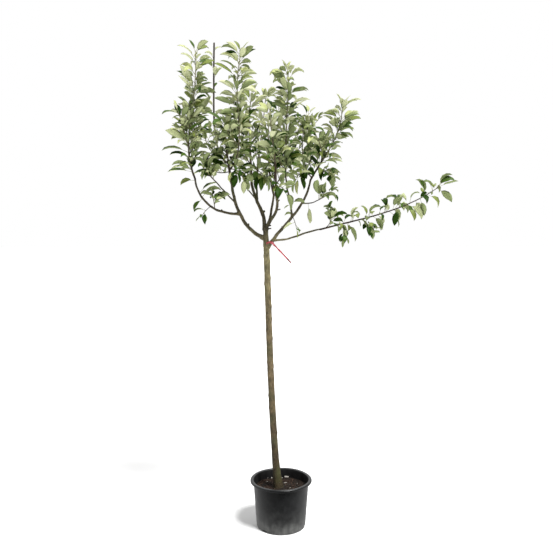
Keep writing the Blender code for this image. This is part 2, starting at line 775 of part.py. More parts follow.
def lines_meet(limb, before):
    count = len(limb["line"])
    reach = np.interp(np.linspace(0, 1, count), np.linspace(0, 1, len(limb["radii"])), limb["radii"])
    fine = samples(before["line"], 0.003)
    before_reach = np.interp(np.linspace(0, 1, len(fine)),
                             np.linspace(0, 1, len(before["radii"])), before["radii"])
    own = samples(limb["line"], 0.003)
    own_reach = np.interp(np.linspace(0, 1, len(own)), np.linspace(0, 1, count), reach)
    apart = np.sqrt(((own[:, None, :] - fine[None, :, :]) ** 2).sum(2))
    return bool((apart - own_reach[:, None] - before_reach[None, :]).min() < 0.0015)


def level_ring(obj, first, count, height):
    for vertex in obj.data.vertices[first:first + count]:
        vertex.co.z = height


def level_trunk_ends(obj, rings):
    # The foot is cut level with the soil, and the top is the seat of the crown's boughs.
    level_ring(obj, 0, TRUNK_SIDES, rings[0][2])
    level_ring(obj, len(obj.data.vertices) - TRUNK_SIDES, TRUNK_SIDES, rings[-1][2])


def leaf_solid(name, leaf, sink):
    foot = leaf["foot"] - leaf["first"] * sink
    verts = [foot, leaf["tip"], leaf["left"], leaf["right"], leaf["top"], leaf["under"]]
    faces = [(0, 2, 4), (0, 4, 3), (0, 3, 5), (0, 5, 2),
             (1, 4, 2), (1, 3, 4), (1, 5, 3), (1, 2, 5)]
    return make_object(name, verts, faces)


def make_masses(limbs, materials):
    shoots = plan_shoots(limbs)
    spaces, wood, reach = plan_spaces(limbs, shoots)
    for mass, limb, rows in MASSES:
        has_room = make_room_test(mass, spaces, wood, reach)
        group = bpy.data.collections.new(mass + "_pieces")
        bpy.context.scene.collection.children.link(group)
        base = None
        for row in rows:
            shoot = shoots[row[0]]
            sides = STEM_SIDES if row[1] == "tip" else SHOOT_SIDES
            tube = make_tube(row[0], shoot["rings"], shoot["radii"], sides)
            if base is None:
                base = tube
                base.name = mass
            else:
                move_to(tube, group)
            leaves, spurs = dress_shoot(shoot, has_room)
            for line in spurs:
                radii = [SPUR_RADIUS, SPUR_RADIUS * 0.8, SPUR_RADIUS * 0.55]
                move_to(make_tube("spur", line, radii, SPUR_SIDES), group)
            for leaf in leaves:
                move_to(leaf_solid("leaf", leaf, LEAF_SINK), group)
        join_mass(base, group)
        base.data.materials.clear()
        base.data.materials.append(materials[mass])


def move_to(obj, group):
    group.objects.link(obj)
    bpy.context.scene.collection.objects.unlink(obj)


def join_mass(base, group):
    # One union joins the whole mass. Where it leaves a fault, the pieces join in smaller
    # groups, and a leaf that can't be joined is left off.
    if not try_join(base, group):
        pieces = list(group.objects)
        for i in range(0, len(pieces), JOIN_GROUP):
            join_pieces(base, pieces[i:i + JOIN_GROUP], group)
        for obj in pieces:
            if obj.name not in group.objects:
                group.objects.link(obj)
    for obj in list(group.objects):
        drop_object(obj)
    bpy.data.collections.remove(group)


def join_pieces(base, pieces, group):
    for obj in list(group.objects):
        group.objects.unlink(obj)
    for obj in pieces:
        group.objects.link(obj)
    if try_join(base, group):
        return
    if len(pieces) > 1:
        half = len(pieces) // 2
        join_pieces(base, pieces[:half], group)
        join_pieces(base, pieces[half:], group)


def try_join(base, group):
    kept = base.data.copy()
    apply_boolean(base, "UNION", group)
    keep_largest_piece(base)
    if is_sound(base):
        return True
    base.data = kept
    return False


def make_label(limbs, material):
    bough = limbs["right_bough"]
    place = LABEL_PLACE
    centre = point_at(bough["line"], place)
    along = direction_at(bough["line"], place)
    radius = float(np.interp(place, np.linspace(0, 1, len(bough["radii"])), bough["radii"]))
    inside = radius + 0.0005
    outside = inside + LABEL_THICKNESS
    way_out = heading(LABEL_EXIT[0], LABEL_EXIT[1])
    way_out = unit(way_out - along * float(way_out @ along))
    across = np.cross(along, way_out)
    sides = 20
    verts = []
    faces = []
    for shift in (-0.5, 0.5):
        for reach in (inside, outside):
            for k in range(sides):
                a = 2 * math.pi * k / sides
                verts.append(centre + along * LABEL_WIDTH * shift
                             + (way_out * math.cos(a) + across * math.sin(a)) * reach)
    for k in range(sides):
        n = (k + 1) % sides
        a, b, c, d = k, k + sides, k + 2 * sides, k + 3 * sides
        e, f, g, h = n, n + sides, n + 2 * sides, n + 3 * sides
        faces.append((a, e, f, b))
        faces.append((c, d, h, g))
        faces.append((b, f, h, d))
        faces.append((a, c, g, e))
    band = make_object("label_strip", verts, faces, material)
    strip = make_strip(centre + way_out * (inside + LABEL_THICKNESS * 0.45), way_out, along)
    apply_boolean(band, "UNION", strip)
    drop_object(strip)
    keep_largest_piece(band)


def make_strip(start, way_out, along):
    drop = heading(LABEL_DROP_COURSE[0], LABEL_DROP_COURSE[1])
    tail = heading(LABEL_COURSE[0], LABEL_COURSE[1])
    bend = start + drop * LABEL_DROP
    verts = []
    faces = []
    for point, way in ((start, way_out), (bend, unit(drop + tail)), (bend + tail * LABEL_TAIL, tail)):
        wide = unit(along - way * float(along @ way))
        thick = np.cross(way, wide)
        for shift, side in ((-0.49, -0.5), (0.49, -0.5), (0.49, 0.5), (-0.49, 0.5)):
            verts.append(point + wide * LABEL_WIDTH * shift + thick * LABEL_THICKNESS * side)
    for i in range(0, 8, 4):
        for k in range(4):
            n = (k + 1) % 4
            faces.append((i + k, i + n, i + 4 + n, i + 4 + k))
    faces.append((3, 2, 1, 0))
    faces.append((8, 9, 10, 11))
    return make_object("strip", verts, faces)


def build():
    clear_scene()
    pot_plastic = make_material("pot_plastic", (0.028, 0.029, 0.031), 0.42)
    soil_brown = make_material("soil", (0.070, 0.042, 0.028), 0.95)
    bark = make_material("bark", (0.150, 0.125, 0.075), 0.80)
    label_red = make_material("label_red", (0.700, 0.060, 0.090), 0.45)
    make_pot(pot_plastic)
    make_soil(soil_brown)
    limbs = plan_limbs()
    make_limbs(limbs, bark)
    make_label(limbs, label_red)
    greens = {}
    for i, row in enumerate(MASSES):
        tint = 0.9 + 0.2 * ((i * 7) % 5) / 4
        greens[row[0]] = make_material("foliage_" + row[0], (0.105 * tint, 0.175 * tint, 0.050), 0.60)
    make_masses(limbs, greens)


build()
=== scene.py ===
# Young apple tree in a black nursery pot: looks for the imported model.
import json
import math
import random

import bmesh
import bpy
import numpy as np
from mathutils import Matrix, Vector, noise

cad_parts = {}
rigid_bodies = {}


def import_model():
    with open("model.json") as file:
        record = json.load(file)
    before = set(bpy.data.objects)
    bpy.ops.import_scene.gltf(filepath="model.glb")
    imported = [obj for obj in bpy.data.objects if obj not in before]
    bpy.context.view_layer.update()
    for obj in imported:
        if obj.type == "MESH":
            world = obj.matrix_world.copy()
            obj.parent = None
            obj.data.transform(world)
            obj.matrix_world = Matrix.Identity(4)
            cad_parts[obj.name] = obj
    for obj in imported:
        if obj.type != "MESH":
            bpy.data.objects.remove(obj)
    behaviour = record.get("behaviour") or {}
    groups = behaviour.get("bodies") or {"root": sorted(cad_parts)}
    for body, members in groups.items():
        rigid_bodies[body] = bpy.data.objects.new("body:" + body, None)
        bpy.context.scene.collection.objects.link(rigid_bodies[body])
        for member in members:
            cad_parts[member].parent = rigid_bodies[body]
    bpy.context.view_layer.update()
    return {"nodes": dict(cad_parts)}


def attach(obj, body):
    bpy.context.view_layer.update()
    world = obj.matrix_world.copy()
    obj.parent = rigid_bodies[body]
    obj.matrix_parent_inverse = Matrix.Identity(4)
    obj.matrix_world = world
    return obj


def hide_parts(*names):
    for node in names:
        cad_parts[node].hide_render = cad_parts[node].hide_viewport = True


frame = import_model()
bpy.ops.object.select_all(action="DESELECT")
print("frame: loaded", len(frame["nodes"]), "solids")

# Camera and studio

cameraSettings = {"place": (-0.022, -3.0, 1.426), "tilt": 86.02, "lens": 41.0}
studioSettings = {
    "sky": (1.0, 1.0, 1.0),
    "skySeen": 1.0,
    # strength of the backdrop's light: from below, level and above, then from the front and the back
    "skyHeights": (0.85, 0.37, 0.95),
    "skyDepths": (0.12, 1.00),
    # name, direction the light comes from, spread in degrees, strength
    "lamps": [
        ("keyLamp", (1.7, -1.7, 4.0), 18, 4.7),
        ("sideLamp", (-3.4, -1.6, 1.8), 60, 0.35),
        ("backLamp", (-0.6, 4.0, 2.6), 60, 0.40),
    ],
    "floorRadius": 60.0,
    "floorColour": (0.88, 0.88, 0.88),
}


def setCamera(settings):
    turn = (math.radians(settings["tilt"]), 0, 0)
    bpy.ops.object.camera_add(location=settings["place"], rotation=turn)
    camera = bpy.context.object
    camera.data.sensor_width = 36
    camera.data.lens = settings["lens"]
    bpy.context.scene.camera = camera


# Materials

def startMaterial(name, colour, roughness, specular=0.5):
    material = bpy.data.materials.new(name)
    material.use_nodes = True
    shader = material.node_tree.nodes["Principled BSDF"]
    shader.inputs["Base Color"].default_value = (*colour, 1)
    shader.inputs["Roughness"].default_value = roughness
    shader.inputs["Specular IOR Level"].default_value = specular
    return material


def addNode(material, kind, inputs, **settings):
    node = material.node_tree.nodes.new("ShaderNode" + kind)
    for key, value in settings.items():
        setattr(node, key, value)
    for key, value in inputs.items():
        if isinstance(value, bpy.types.NodeSocket):
            material.node_tree.links.new(value, node.inputs[key])
        else:
            node.inputs[key].default_value = value
    return node


def plugIn(material, **sockets):
    names = {"colour": "Base Color", "roughness": "Roughness", "normal": "Normal"}
    shader = material.node_tree.nodes["Principled BSDF"]
    for key, value in sockets.items():
        material.node_tree.links.new(value, shader.inputs[names[key]])


def objectPlace(material, stretch=(1, 1, 1)):
    place = addNode(material, "TexCoord", {}).outputs["Object"]
    return addNode(material, "Mapping", {"Vector": place, "Scale": stretch}).outputs[0]


def cloudy(material, scale, detail=4.0, stretch=(1, 1, 1)):
    place = objectPlace(material, stretch)
    return addNode(material, "TexNoise", {"Vector": place, "Scale": scale, "Detail": detail}).outputs[0]


def ramp(material, factor, stops):
    node = addNode(material, "ValToRGB", {"Fac": factor})
    marks = node.color_ramp.elements
    marks.remove(marks[-1])
    for i, (place, colour) in enumerate(stops):
        mark = marks[0] if i == 0 else marks.new(place)
        mark.position = place
        mark.color = (*colour, 1)
    return node.outputs["Color"]


def greys(material, factor, low, high, dark=0.0, light=1.0):
    return ramp(material, factor, [(low, (dark,) * 3), (high, (light,) * 3)])


def blendColours(material, factor, first, second, way="MIX"):
    first = first if isinstance(first, bpy.types.NodeSocket) else (*first, 1)
    second = second if isinstance(second, bpy.types.NodeSocket) else (*second, 1)
    node = addNode(material, "Mix", {}, data_type="RGBA", blend_type=way)
    for index, value in ((0, factor), (6, first), (7, second)):
        if isinstance(value, bpy.types.NodeSocket):
            material.node_tree.links.new(value, node.inputs[index])
        else:
            node.inputs[index].default_value = value
    return node.outputs[2]


def compute(material, operation, first, second):
    return addNode(material, "Math", {0: first, 1: second}, operation=operation).outputs[0]


def heightShare(material, low, high, axis="Z"):
    place = addNode(material, "TexCoord", {}).outputs["Object"]
    way = addNode(material, "SeparateXYZ", {"Vector": place}).outputs[axis]
    return addNode(material, "MapRange", {"Value": way, "From Min": low, "From Max": high}).outputs[0]


def bumped(material, height, strength, depth):
    node = addNode(material, "Bump", {"Height": height, "Strength": strength, "Distance": depth})
    return node.outputs[0]


# Mesh helpers

def meshPiece(name, verts, faces, materials, slots=None):
    mesh = bpy.data.meshes.new(name)
    mesh.from_pydata([tuple(v) for v in verts], [], [tuple(int(i) for i in f) for f in faces])
    for material in materials:
        mesh.materials.append(material)
    if slots is not None:
        mesh.polygons.foreach_set("material_index", np.array(slots, dtype=np.int32))
    mesh.shade_smooth()
    piece = bpy.data.objects.new(name, mesh)
    bpy.context.scene.collection.objects.link(piece)
    return piece


def pickOnly(piece):
    bpy.ops.object.select_all(action="DESELECT")
    piece.select_set(True)
    bpy.context.view_layer.objects.active = piece


def growCurves(name, rows, roundness, materials=(), slots=None):
    # One tube for each row of points and radii, made a closed mesh.
    curve = bpy.data.curves.new(name, "CURVE")
    curve.dimensions = "3D"
    curve.bevel_depth = 1.0
    curve.bevel_resolution = roundness
    curve.use_fill_caps = True
    for material in materials:
        curve.materials.append(material)
    for i, (points, radii) in enumerate(rows):
        spline = curve.splines.new("POLY")
        spline.material_index = slots[i] if slots else 0
        spline.points.add(len(points) - 1)
        for mark, point, radius in zip(spline.points, points, radii):
            mark.co = (*point, 1)
            mark.radius = radius
    piece = bpy.data.objects.new(name, curve)
    bpy.context.scene.collection.objects.link(piece)
    pickOnly(piece)
    bpy.ops.object.convert(target="MESH")
    piece = bpy.context.object
    bpy.ops.object.mode_set(mode="EDIT")
    bpy.ops.mesh.select_all(action="SELECT")
    bpy.ops.mesh.remove_doubles(threshold=0.000001)
    bpy.ops.mesh.normals_make_consistent(inside=False)
    bpy.ops.object.mode_set(mode="OBJECT")
    piece.data.shade_smooth()
    return piece


def readPoints(piece):
    points = np.zeros(len(piece.data.vertices) * 3)
    normals = np.zeros(len(piece.data.vertices) * 3)
    piece.data.vertices.foreach_get("co", points)
    piece.data.vertices.foreach_get("normal", normals)
    return points.reshape(-1, 3), normals.reshape(-1, 3)


def writePoints(piece, points):
    piece.data.vertices.foreach_set("co", points.ravel())
    piece.data.update()


def noiseAt(points, scale):
    scale = np.array(scale, float) * np.ones(3)
    return np.array([noise.noise(Vector(p)) for p in points * scale])


def applyModifier(piece, kind, **settings):
    step = piece.modifiers.new(kind.lower(), kind)
    for key, value in settings.items():
        setattr(step, key, value)
    pickOnly(piece)
    bpy.ops.object.modifier_apply(modifier=step.name)


# Lines of growth, by the same rule as the solids

def heading(azimuth, lean):
    a = math.radians(azimuth)
    b = math.radians(lean)
    return np.array([math.cos(a) * math.sin(b), math.sin(a) * math.sin(b), math.cos(b)])


def unit(vector):
    return vector / max(np.linalg.norm(vector), 1e-9)


def growLine(start, course, length, steps):
    azimuth0, azimuth1, lean0, leanMid, lean1 = course
    line = [np.array(start, float)]
    for i in range(steps):
        t = (i + 0.5) / steps
        azimuth = azimuth0 + (azimuth1 - azimuth0) * t
        lean = lean0 * (1 - t) ** 2 + 2 * leanMid * t * (1 - t) + lean1 * t * t
        line.append(line[-1] + heading(azimuth, lean) * length / steps)
    return np.array(line)


def pointAt(line, place):
    f = min(max(place, 0.0), 1.0) * (len(line) - 1)
    i = min(int(f), len(line) - 2)
    return line[i] + (line[i + 1] - line[i]) * (f - i)


def directionAt(line, place):
    f = min(max(place, 0.0), 1.0) * (len(line) - 1)
    i = min(int(f), len(line) - 2)
    return unit(line[i + 1] - line[i])


def sideOf(direction, turn):
    across = unit(np.cross(direction, (0.31, 0.95, 0.05)))
    up = np.cross(across, direction)
    a = math.radians(turn)
    return across * math.cos(a) + up * math.sin(a)


def samples(line, spacing):
    total = np.linalg.norm(np.diff(line, axis=0), axis=1).sum()
    count = max(2, int(total / spacing))
    return np.array([pointAt(line, i / count) for i in range(count + 1)])


def spread(values, count):
    return np.interp(np.linspace(0, 1, count), np.linspace(0, 1, len(values)), values)


# Trunk and boughs

trunkSettings = {
    "foot": (-0.0144, 0.0, 0.1863),
    "course": (0, 0, -5.4, -0.3, -2.4),
    "length": 1.268,
    "radiusLow": 0.0168,
    "radiusHigh": 0.0150,
    "flare": 0.0100,
    "flareHeight": 0.055,
    # where the stem narrows under the crown, and by how much
    "neckPlaces": (0.930, 0.972, 1.0),
    "neckChanges": (0.0, -0.0032, -0.0008),
    "sunk": 0.010,
    # height and side in degrees of each healed pruning knot
    "knots": [(1.315, 180), (1.291, 0), (1.250, 95), (1.212, -10), (1.186, 190), (1.157, 0), (1.076, -15),
              (1.040, 80), (1.013, 10), (0.960, 200), (0.921, -20), (0.872, -100), (0.850, 100),
              (0.804, 170), (0.785, 0), (0.731, -110), (0.643, -160), (0.583, 180), (0.520, 85),
              (0.460, -10), (0.360, 140)],
    "knotSize": 0.0062,
    "knotRise": 0.0026,
}

# name, parent, place along it, course (azimuth at start and end, lean from upright at
# start, middle and end), length, start and end radius
limbRows = [
    ("left_bough", "trunk", 0.956, (172, 242, 72, 11, 14), 0.357, 0.0090, 0.0060),
    ("right_bough", "trunk", 0.915, (-10, 36, 31, 58, 12), 0.397, 0.0086, 0.0046),
    ("mid_left_bough", "top", (-0.0050, -0.0010), (168, 115, -3, 62, -7), 0.280, 0.0090, 0.0060),
    ("mid_right_front_bough", "top", (0.0052, -0.0058), (-2, -121, 31, 49, 22), 0.182, 0.0074, 0.0054),
    ("mid_right_back_bough", "top", (0.0046, 0.0064), (54, 74, 43, 9, 28), 0.169, 0.0066, 0.0052),
    ("far_left_limb", "left_bough", 0.496, (-170, -124, 92, 66, 11), 0.298, 0.0062, 0.0042),
    ("left_twig", "left_bough", 0.640, (-137, -139, 47, 56, 48), 0.142, 0.0038, 0.0028),
    ("mid_left_fork", "mid_left_bough", 0.493, (83, 102, 18, 60, 24), 0.073, 0.0058, 0.0052),
    ("right_upright_limb", "right_bough", 0.496, (-128, -109, 0, 45, 15), 0.196, 0.0050, 0.0038),
    ("lateral_limb", "right_bough", 0.136, (-5, -12, 94, 53, 84), 0.233, 0.0048, 0.0040),
    ("right_twig", "right_bough", 0.709, (-31, -56, 98, 88, 72), 0.087, 0.0030, 0.0023),
]

# limb, place, azimuth, lean, length and radius of each pruned stub
stubRows = [
    ("mid_left_bough", 0.493, 184, 42, 0.050, 0.0034),
    ("mid_left_bough", 0.420, 190, 33, 0.034, 0.0019),
    ("mid_left_bough", 0.250, 8, 62, 0.008, 0.0042),
    ("mid_right_front_bough", 0.540, -8, 84, 0.014, 0.0029),
    ("mid_right_front_bough", 0.800, 4, 66, 0.008, 0.0031),
    ("right_bough", 0.520, 150, 38, 0.016, 0.0034),
    ("right_bough", 0.330, -120, 70, 0.006, 0.0038),
    ("mid_right_front_bough", 0.030, -20, 84, 0.013, 0.0036),
    ("trunk", 0.9936, 8, 90, 0.014, 0.0032),
    ("left_bough", 0.300, 60, 40, 0.007, 0.0040),
    ("far_left_limb", 0.300, 80, 40, 0.006, 0.0031),
]


def trunkRadius(place, settings):
    height = place * settings["length"]
    radius = settings["radiusLow"] + (settings["radiusHigh"] - settings["radiusLow"]) * place
    radius += settings["flare"] * math.exp(-height / settings["flareHeight"])
    return radius + float(np.interp(place, settings["neckPlaces"], settings["neckChanges"]))


def planLimbs(settings):
    fine = growLine(settings["foot"], settings["course"], settings["length"], 88)
    steps = np.sort(np.append(np.linspace(0, 1, 19) ** 1.5, settings["neckPlaces"][1]))
    radii = [trunkRadius(s, settings) for s in steps]
    even = [trunkRadius(s, settings) for s in np.linspace(0, 1, 315)]
    limbs = {"trunk": {"line": fine, "ends": fine, "radii": radii, "even": even, "parent": None}}
    for name, parent, place, course, length, radius0, radius1 in limbRows:
        if parent == "top":
            start = fine[-1] + np.array([place[0], place[1], 0.0003])
        else:
            start = pointAt(limbs[parent]["line"], place)
        line = growLine(start, course, length, 24)
        steps = {"far_left_limb": 12, "left_bough": 12, "right_bough": 12, "mid_left_bough": 9}.get(name, 8)
        ends = np.array([pointAt(line, i / steps) for i in range(steps + 1)])
        radii = np.linspace(radius0, radius1, steps + 1)
        limbs[name] = {"line": line, "ends": ends, "radii": radii, "even": radii, "parent": parent}
    return limbs


def limbTube(name, limbs, collar=0.35):
    # A limb leaves its parent through a swollen collar.
    limb = limbs[name]
    points = samples(limb["line"], 0.004)
    radii = spread(limb["even"], len(points))
    if limb["parent"] is None:
        return points, radii
    seat = 0.012
    if limb["parent"] == "top":
        collar = 0.10
        points = np.concatenate([[points[0] - directionAt(points, 0) * 0.016], points])
        radii = np.concatenate([[radii[0]], radii])
    else:
        parent = limbs[limb["parent"]]
        seat = float(np.interp(0.5, [0, 1], [parent["radii"][0], parent["radii"][-1]]))
    along = np.linspace(0, np.linalg.norm(np.diff(points, axis=0), axis=1).sum(), len(points))
    radii = radii * (1 + collar * np.exp(-np.maximum(0, along - seat) / (1.4 * radii[0])))
    # The wood turns a little at each bud and swells there.
    fade = np.minimum(1, np.minimum(along, along[-1] - along) / 0.030)
    kink = np.stack([noiseAt(points + k, 27) for k in (2, 5, 8)], 1)
    buds = np.maximum(0, np.sin(2 * math.pi * along / 0.034 + len(name))) ** 10
    return points + 0.0024 * fade[:, None] * kink, radii * (1 + 0.13 * buds)


def stubTube(row, limbs):
    name, place, azimuth, lean, length, radius = row
    start = pointAt(limbs[name]["line"], place)
    seat = float(np.interp(place, [0, 1], [limbs[name]["radii"][0], limbs[name]["radii"][-1]]))
    aim = heading(azimuth, lean)
    reach = np.array([0.0, seat, seat + 0.003, seat + length * 0.5, seat + length - 0.001, seat + length])
    shape = np.array([1.6, 1.6, 1.25, 1.05, 1.0, 0.85])
    bend = np.array([0.0, 0.0, 0.06])
    points = np.array([start + aim * r + bend * (r / length) * r * 0.5 for r in reach])
    return points, radius * shape


def makeWood(limbs, settings):
    thin = ("left_twig", "right_twig", "mid_left_fork")
    rows = [limbTube(name, limbs) for name in limbs if name not in thin]
    points, radii = rows[0]
    down = np.array([0.0, 0.0, -settings["sunk"]])
    rows[0] = (np.concatenate([[points[0] + down], points]), np.concatenate([[radii[0] * 1.05], radii]))
    rows += [limbTube("mid_left_fork", limbs)]
    rows += [stubTube(row, limbs) for row in stubRows if row[5] > 0.0030]
    wood = growCurves("barkedWood", rows, 12)
    applyModifier(wood, "REMESH", mode="VOXEL", voxel_size=0.0018, use_smooth_shade=True)
    applyModifier(wood, "SMOOTH", factor=0.5, iterations=4)
    addRelief(wood, settings)
    rest = [limbTube(name, limbs) for name in thin[:2]]
    rest += [stubTube(row, limbs) for row in stubRows if row[5] <= 0.0030]
    twigs = growCurves("thinWood", rest, 4)
    bpy.ops.object.select_all(action="DESELECT")
    twigs.select_set(True)
    wood.select_set(True)
    bpy.context.view_layer.objects.active = wood
    bpy.ops.object.join()
    return wood


def addRelief(wood, settings):
    points, normals = readPoints(wood)
    share = np.where(points[:, 2] < 1.40, 1.0, 0.55)
    offset = 0.0007 * noiseAt(points, (60, 60, 20)) + 0.0007 * noiseAt(points, 17)
    offset += 0.0004 * noiseAt(points, (230, 230, 60))
    offset *= share
    # The root flare runs out in low ridges.
    foot = np.array(settings["foot"])
    angle = np.arctan2(points[:, 1] - foot[1], points[:, 0] - foot[0])
    low = np.exp(-np.maximum(0, points[:, 2] - foot[2]) / 0.05) * (points[:, 2] < 0.5)
    offset += 0.0016 * low * np.sin(3 * angle + 0.8) + 0.0008 * low * np.sin(5 * angle)
    for height, side in settings["knots"]:
        line = growLine(settings["foot"], settings["course"], settings["length"], 88)
        place = (height - settings["foot"][2]) / settings["length"]
        knot = pointAt(line, place) + heading(side, 90) * trunkRadius(place, settings)
        away = np.linalg.norm((points - knot) * (1, 1, 0.8), axis=1)
        size = settings["knotSize"]
        offset += settings["knotRise"] * np.exp(-(away / size) ** 2)
        offset -= 0.0014 * np.exp(-(away / (0.38 * size)) ** 2)
    writePoints(wood, points + normals * offset[:, None])


barkSettings = {
    # share of the way from the soil to the top, and colour
    "heights": [(0.0, (0.036, 0.026, 0.011)), (0.05, (0.055, 0.038, 0.017)), (0.12, (0.077, 0.054, 0.026)),
                (0.20, (0.104, 0.075, 0.037)), (0.30, (0.137, 0.101, 0.053)), (0.42, (0.175, 0.139, 0.069)),
                (0.53, (0.190, 0.168, 0.084)), (0.572, (0.086, 0.072, 0.034)), (0.75, (0.070, 0.055, 0.032)),
                (1.0, (0.074, 0.055, 0.038))],
    "low": 0.19,
    "high": 2.35,
}


def barkMaterial(settings):
    material = startMaterial("youngBark", (0.15, 0.12, 0.07), 0.78, 0.35)
    colour = ramp(material, heightShare(material, settings["low"], settings["high"]), settings["heights"])
    patches = greys(material, cloudy(material, 26, 5), 0.32, 0.68, 0.52, 1.36)
    colour = blendColours(material, 1.0, colour, patches, "MULTIPLY")
    cracks = cloudy(material, 330, 6, (1, 1, 0.16))
    colour = blendColours(material, 1.0, colour, greys(material, cracks, 0.34, 0.60, 0.45, 1.14), "MULTIPLY")
    # Pale breathing pores, wider than high.
    cell = addNode(material, "TexVoronoi", {"Vector": objectPlace(material, (1, 1, 2.3)), "Scale": 105})
    pores = greys(material, cell.outputs["Distance"], 0.10, 0.19, 0.75, 0.0)
    colour = blendColours(material, pores, colour, (0.30, 0.27, 0.19))
    algae = greys(material, cloudy(material, 9, 3), 0.52, 0.72, 0.0, 0.45)
    colour = blendColours(material, algae, colour, (0.105, 0.120, 0.050))
    # A green band low on the stem.
    band = ramp(material, heightShare(material, 0.20, 0.36), [(0.05, (0, 0, 0)), (0.30, (0.85,) * 3),
                                                              (0.55, (0.7,) * 3), (0.95, (0, 0, 0))])
    band = compute(material, "MULTIPLY", band, greys(material, cloudy(material, 21, 3), 0.42, 0.60))
    band = compute(material, "MULTIPLY", band, heightShare(material, -0.030, -0.014, "X"))
    colour = blendColours(material, band, colour, (0.064, 0.066, 0.022))
    height = compute(material, "ADD", cracks, compute(material, "MULTIPLY", pores, 0.5))
    plugIn(material, colour=colour, normal=bumped(material, height, 0.55, 0.0012),
           roughness=greys(material, cracks, 0.3, 0.7, 0.88, 0.66))
    return material


# Foliage

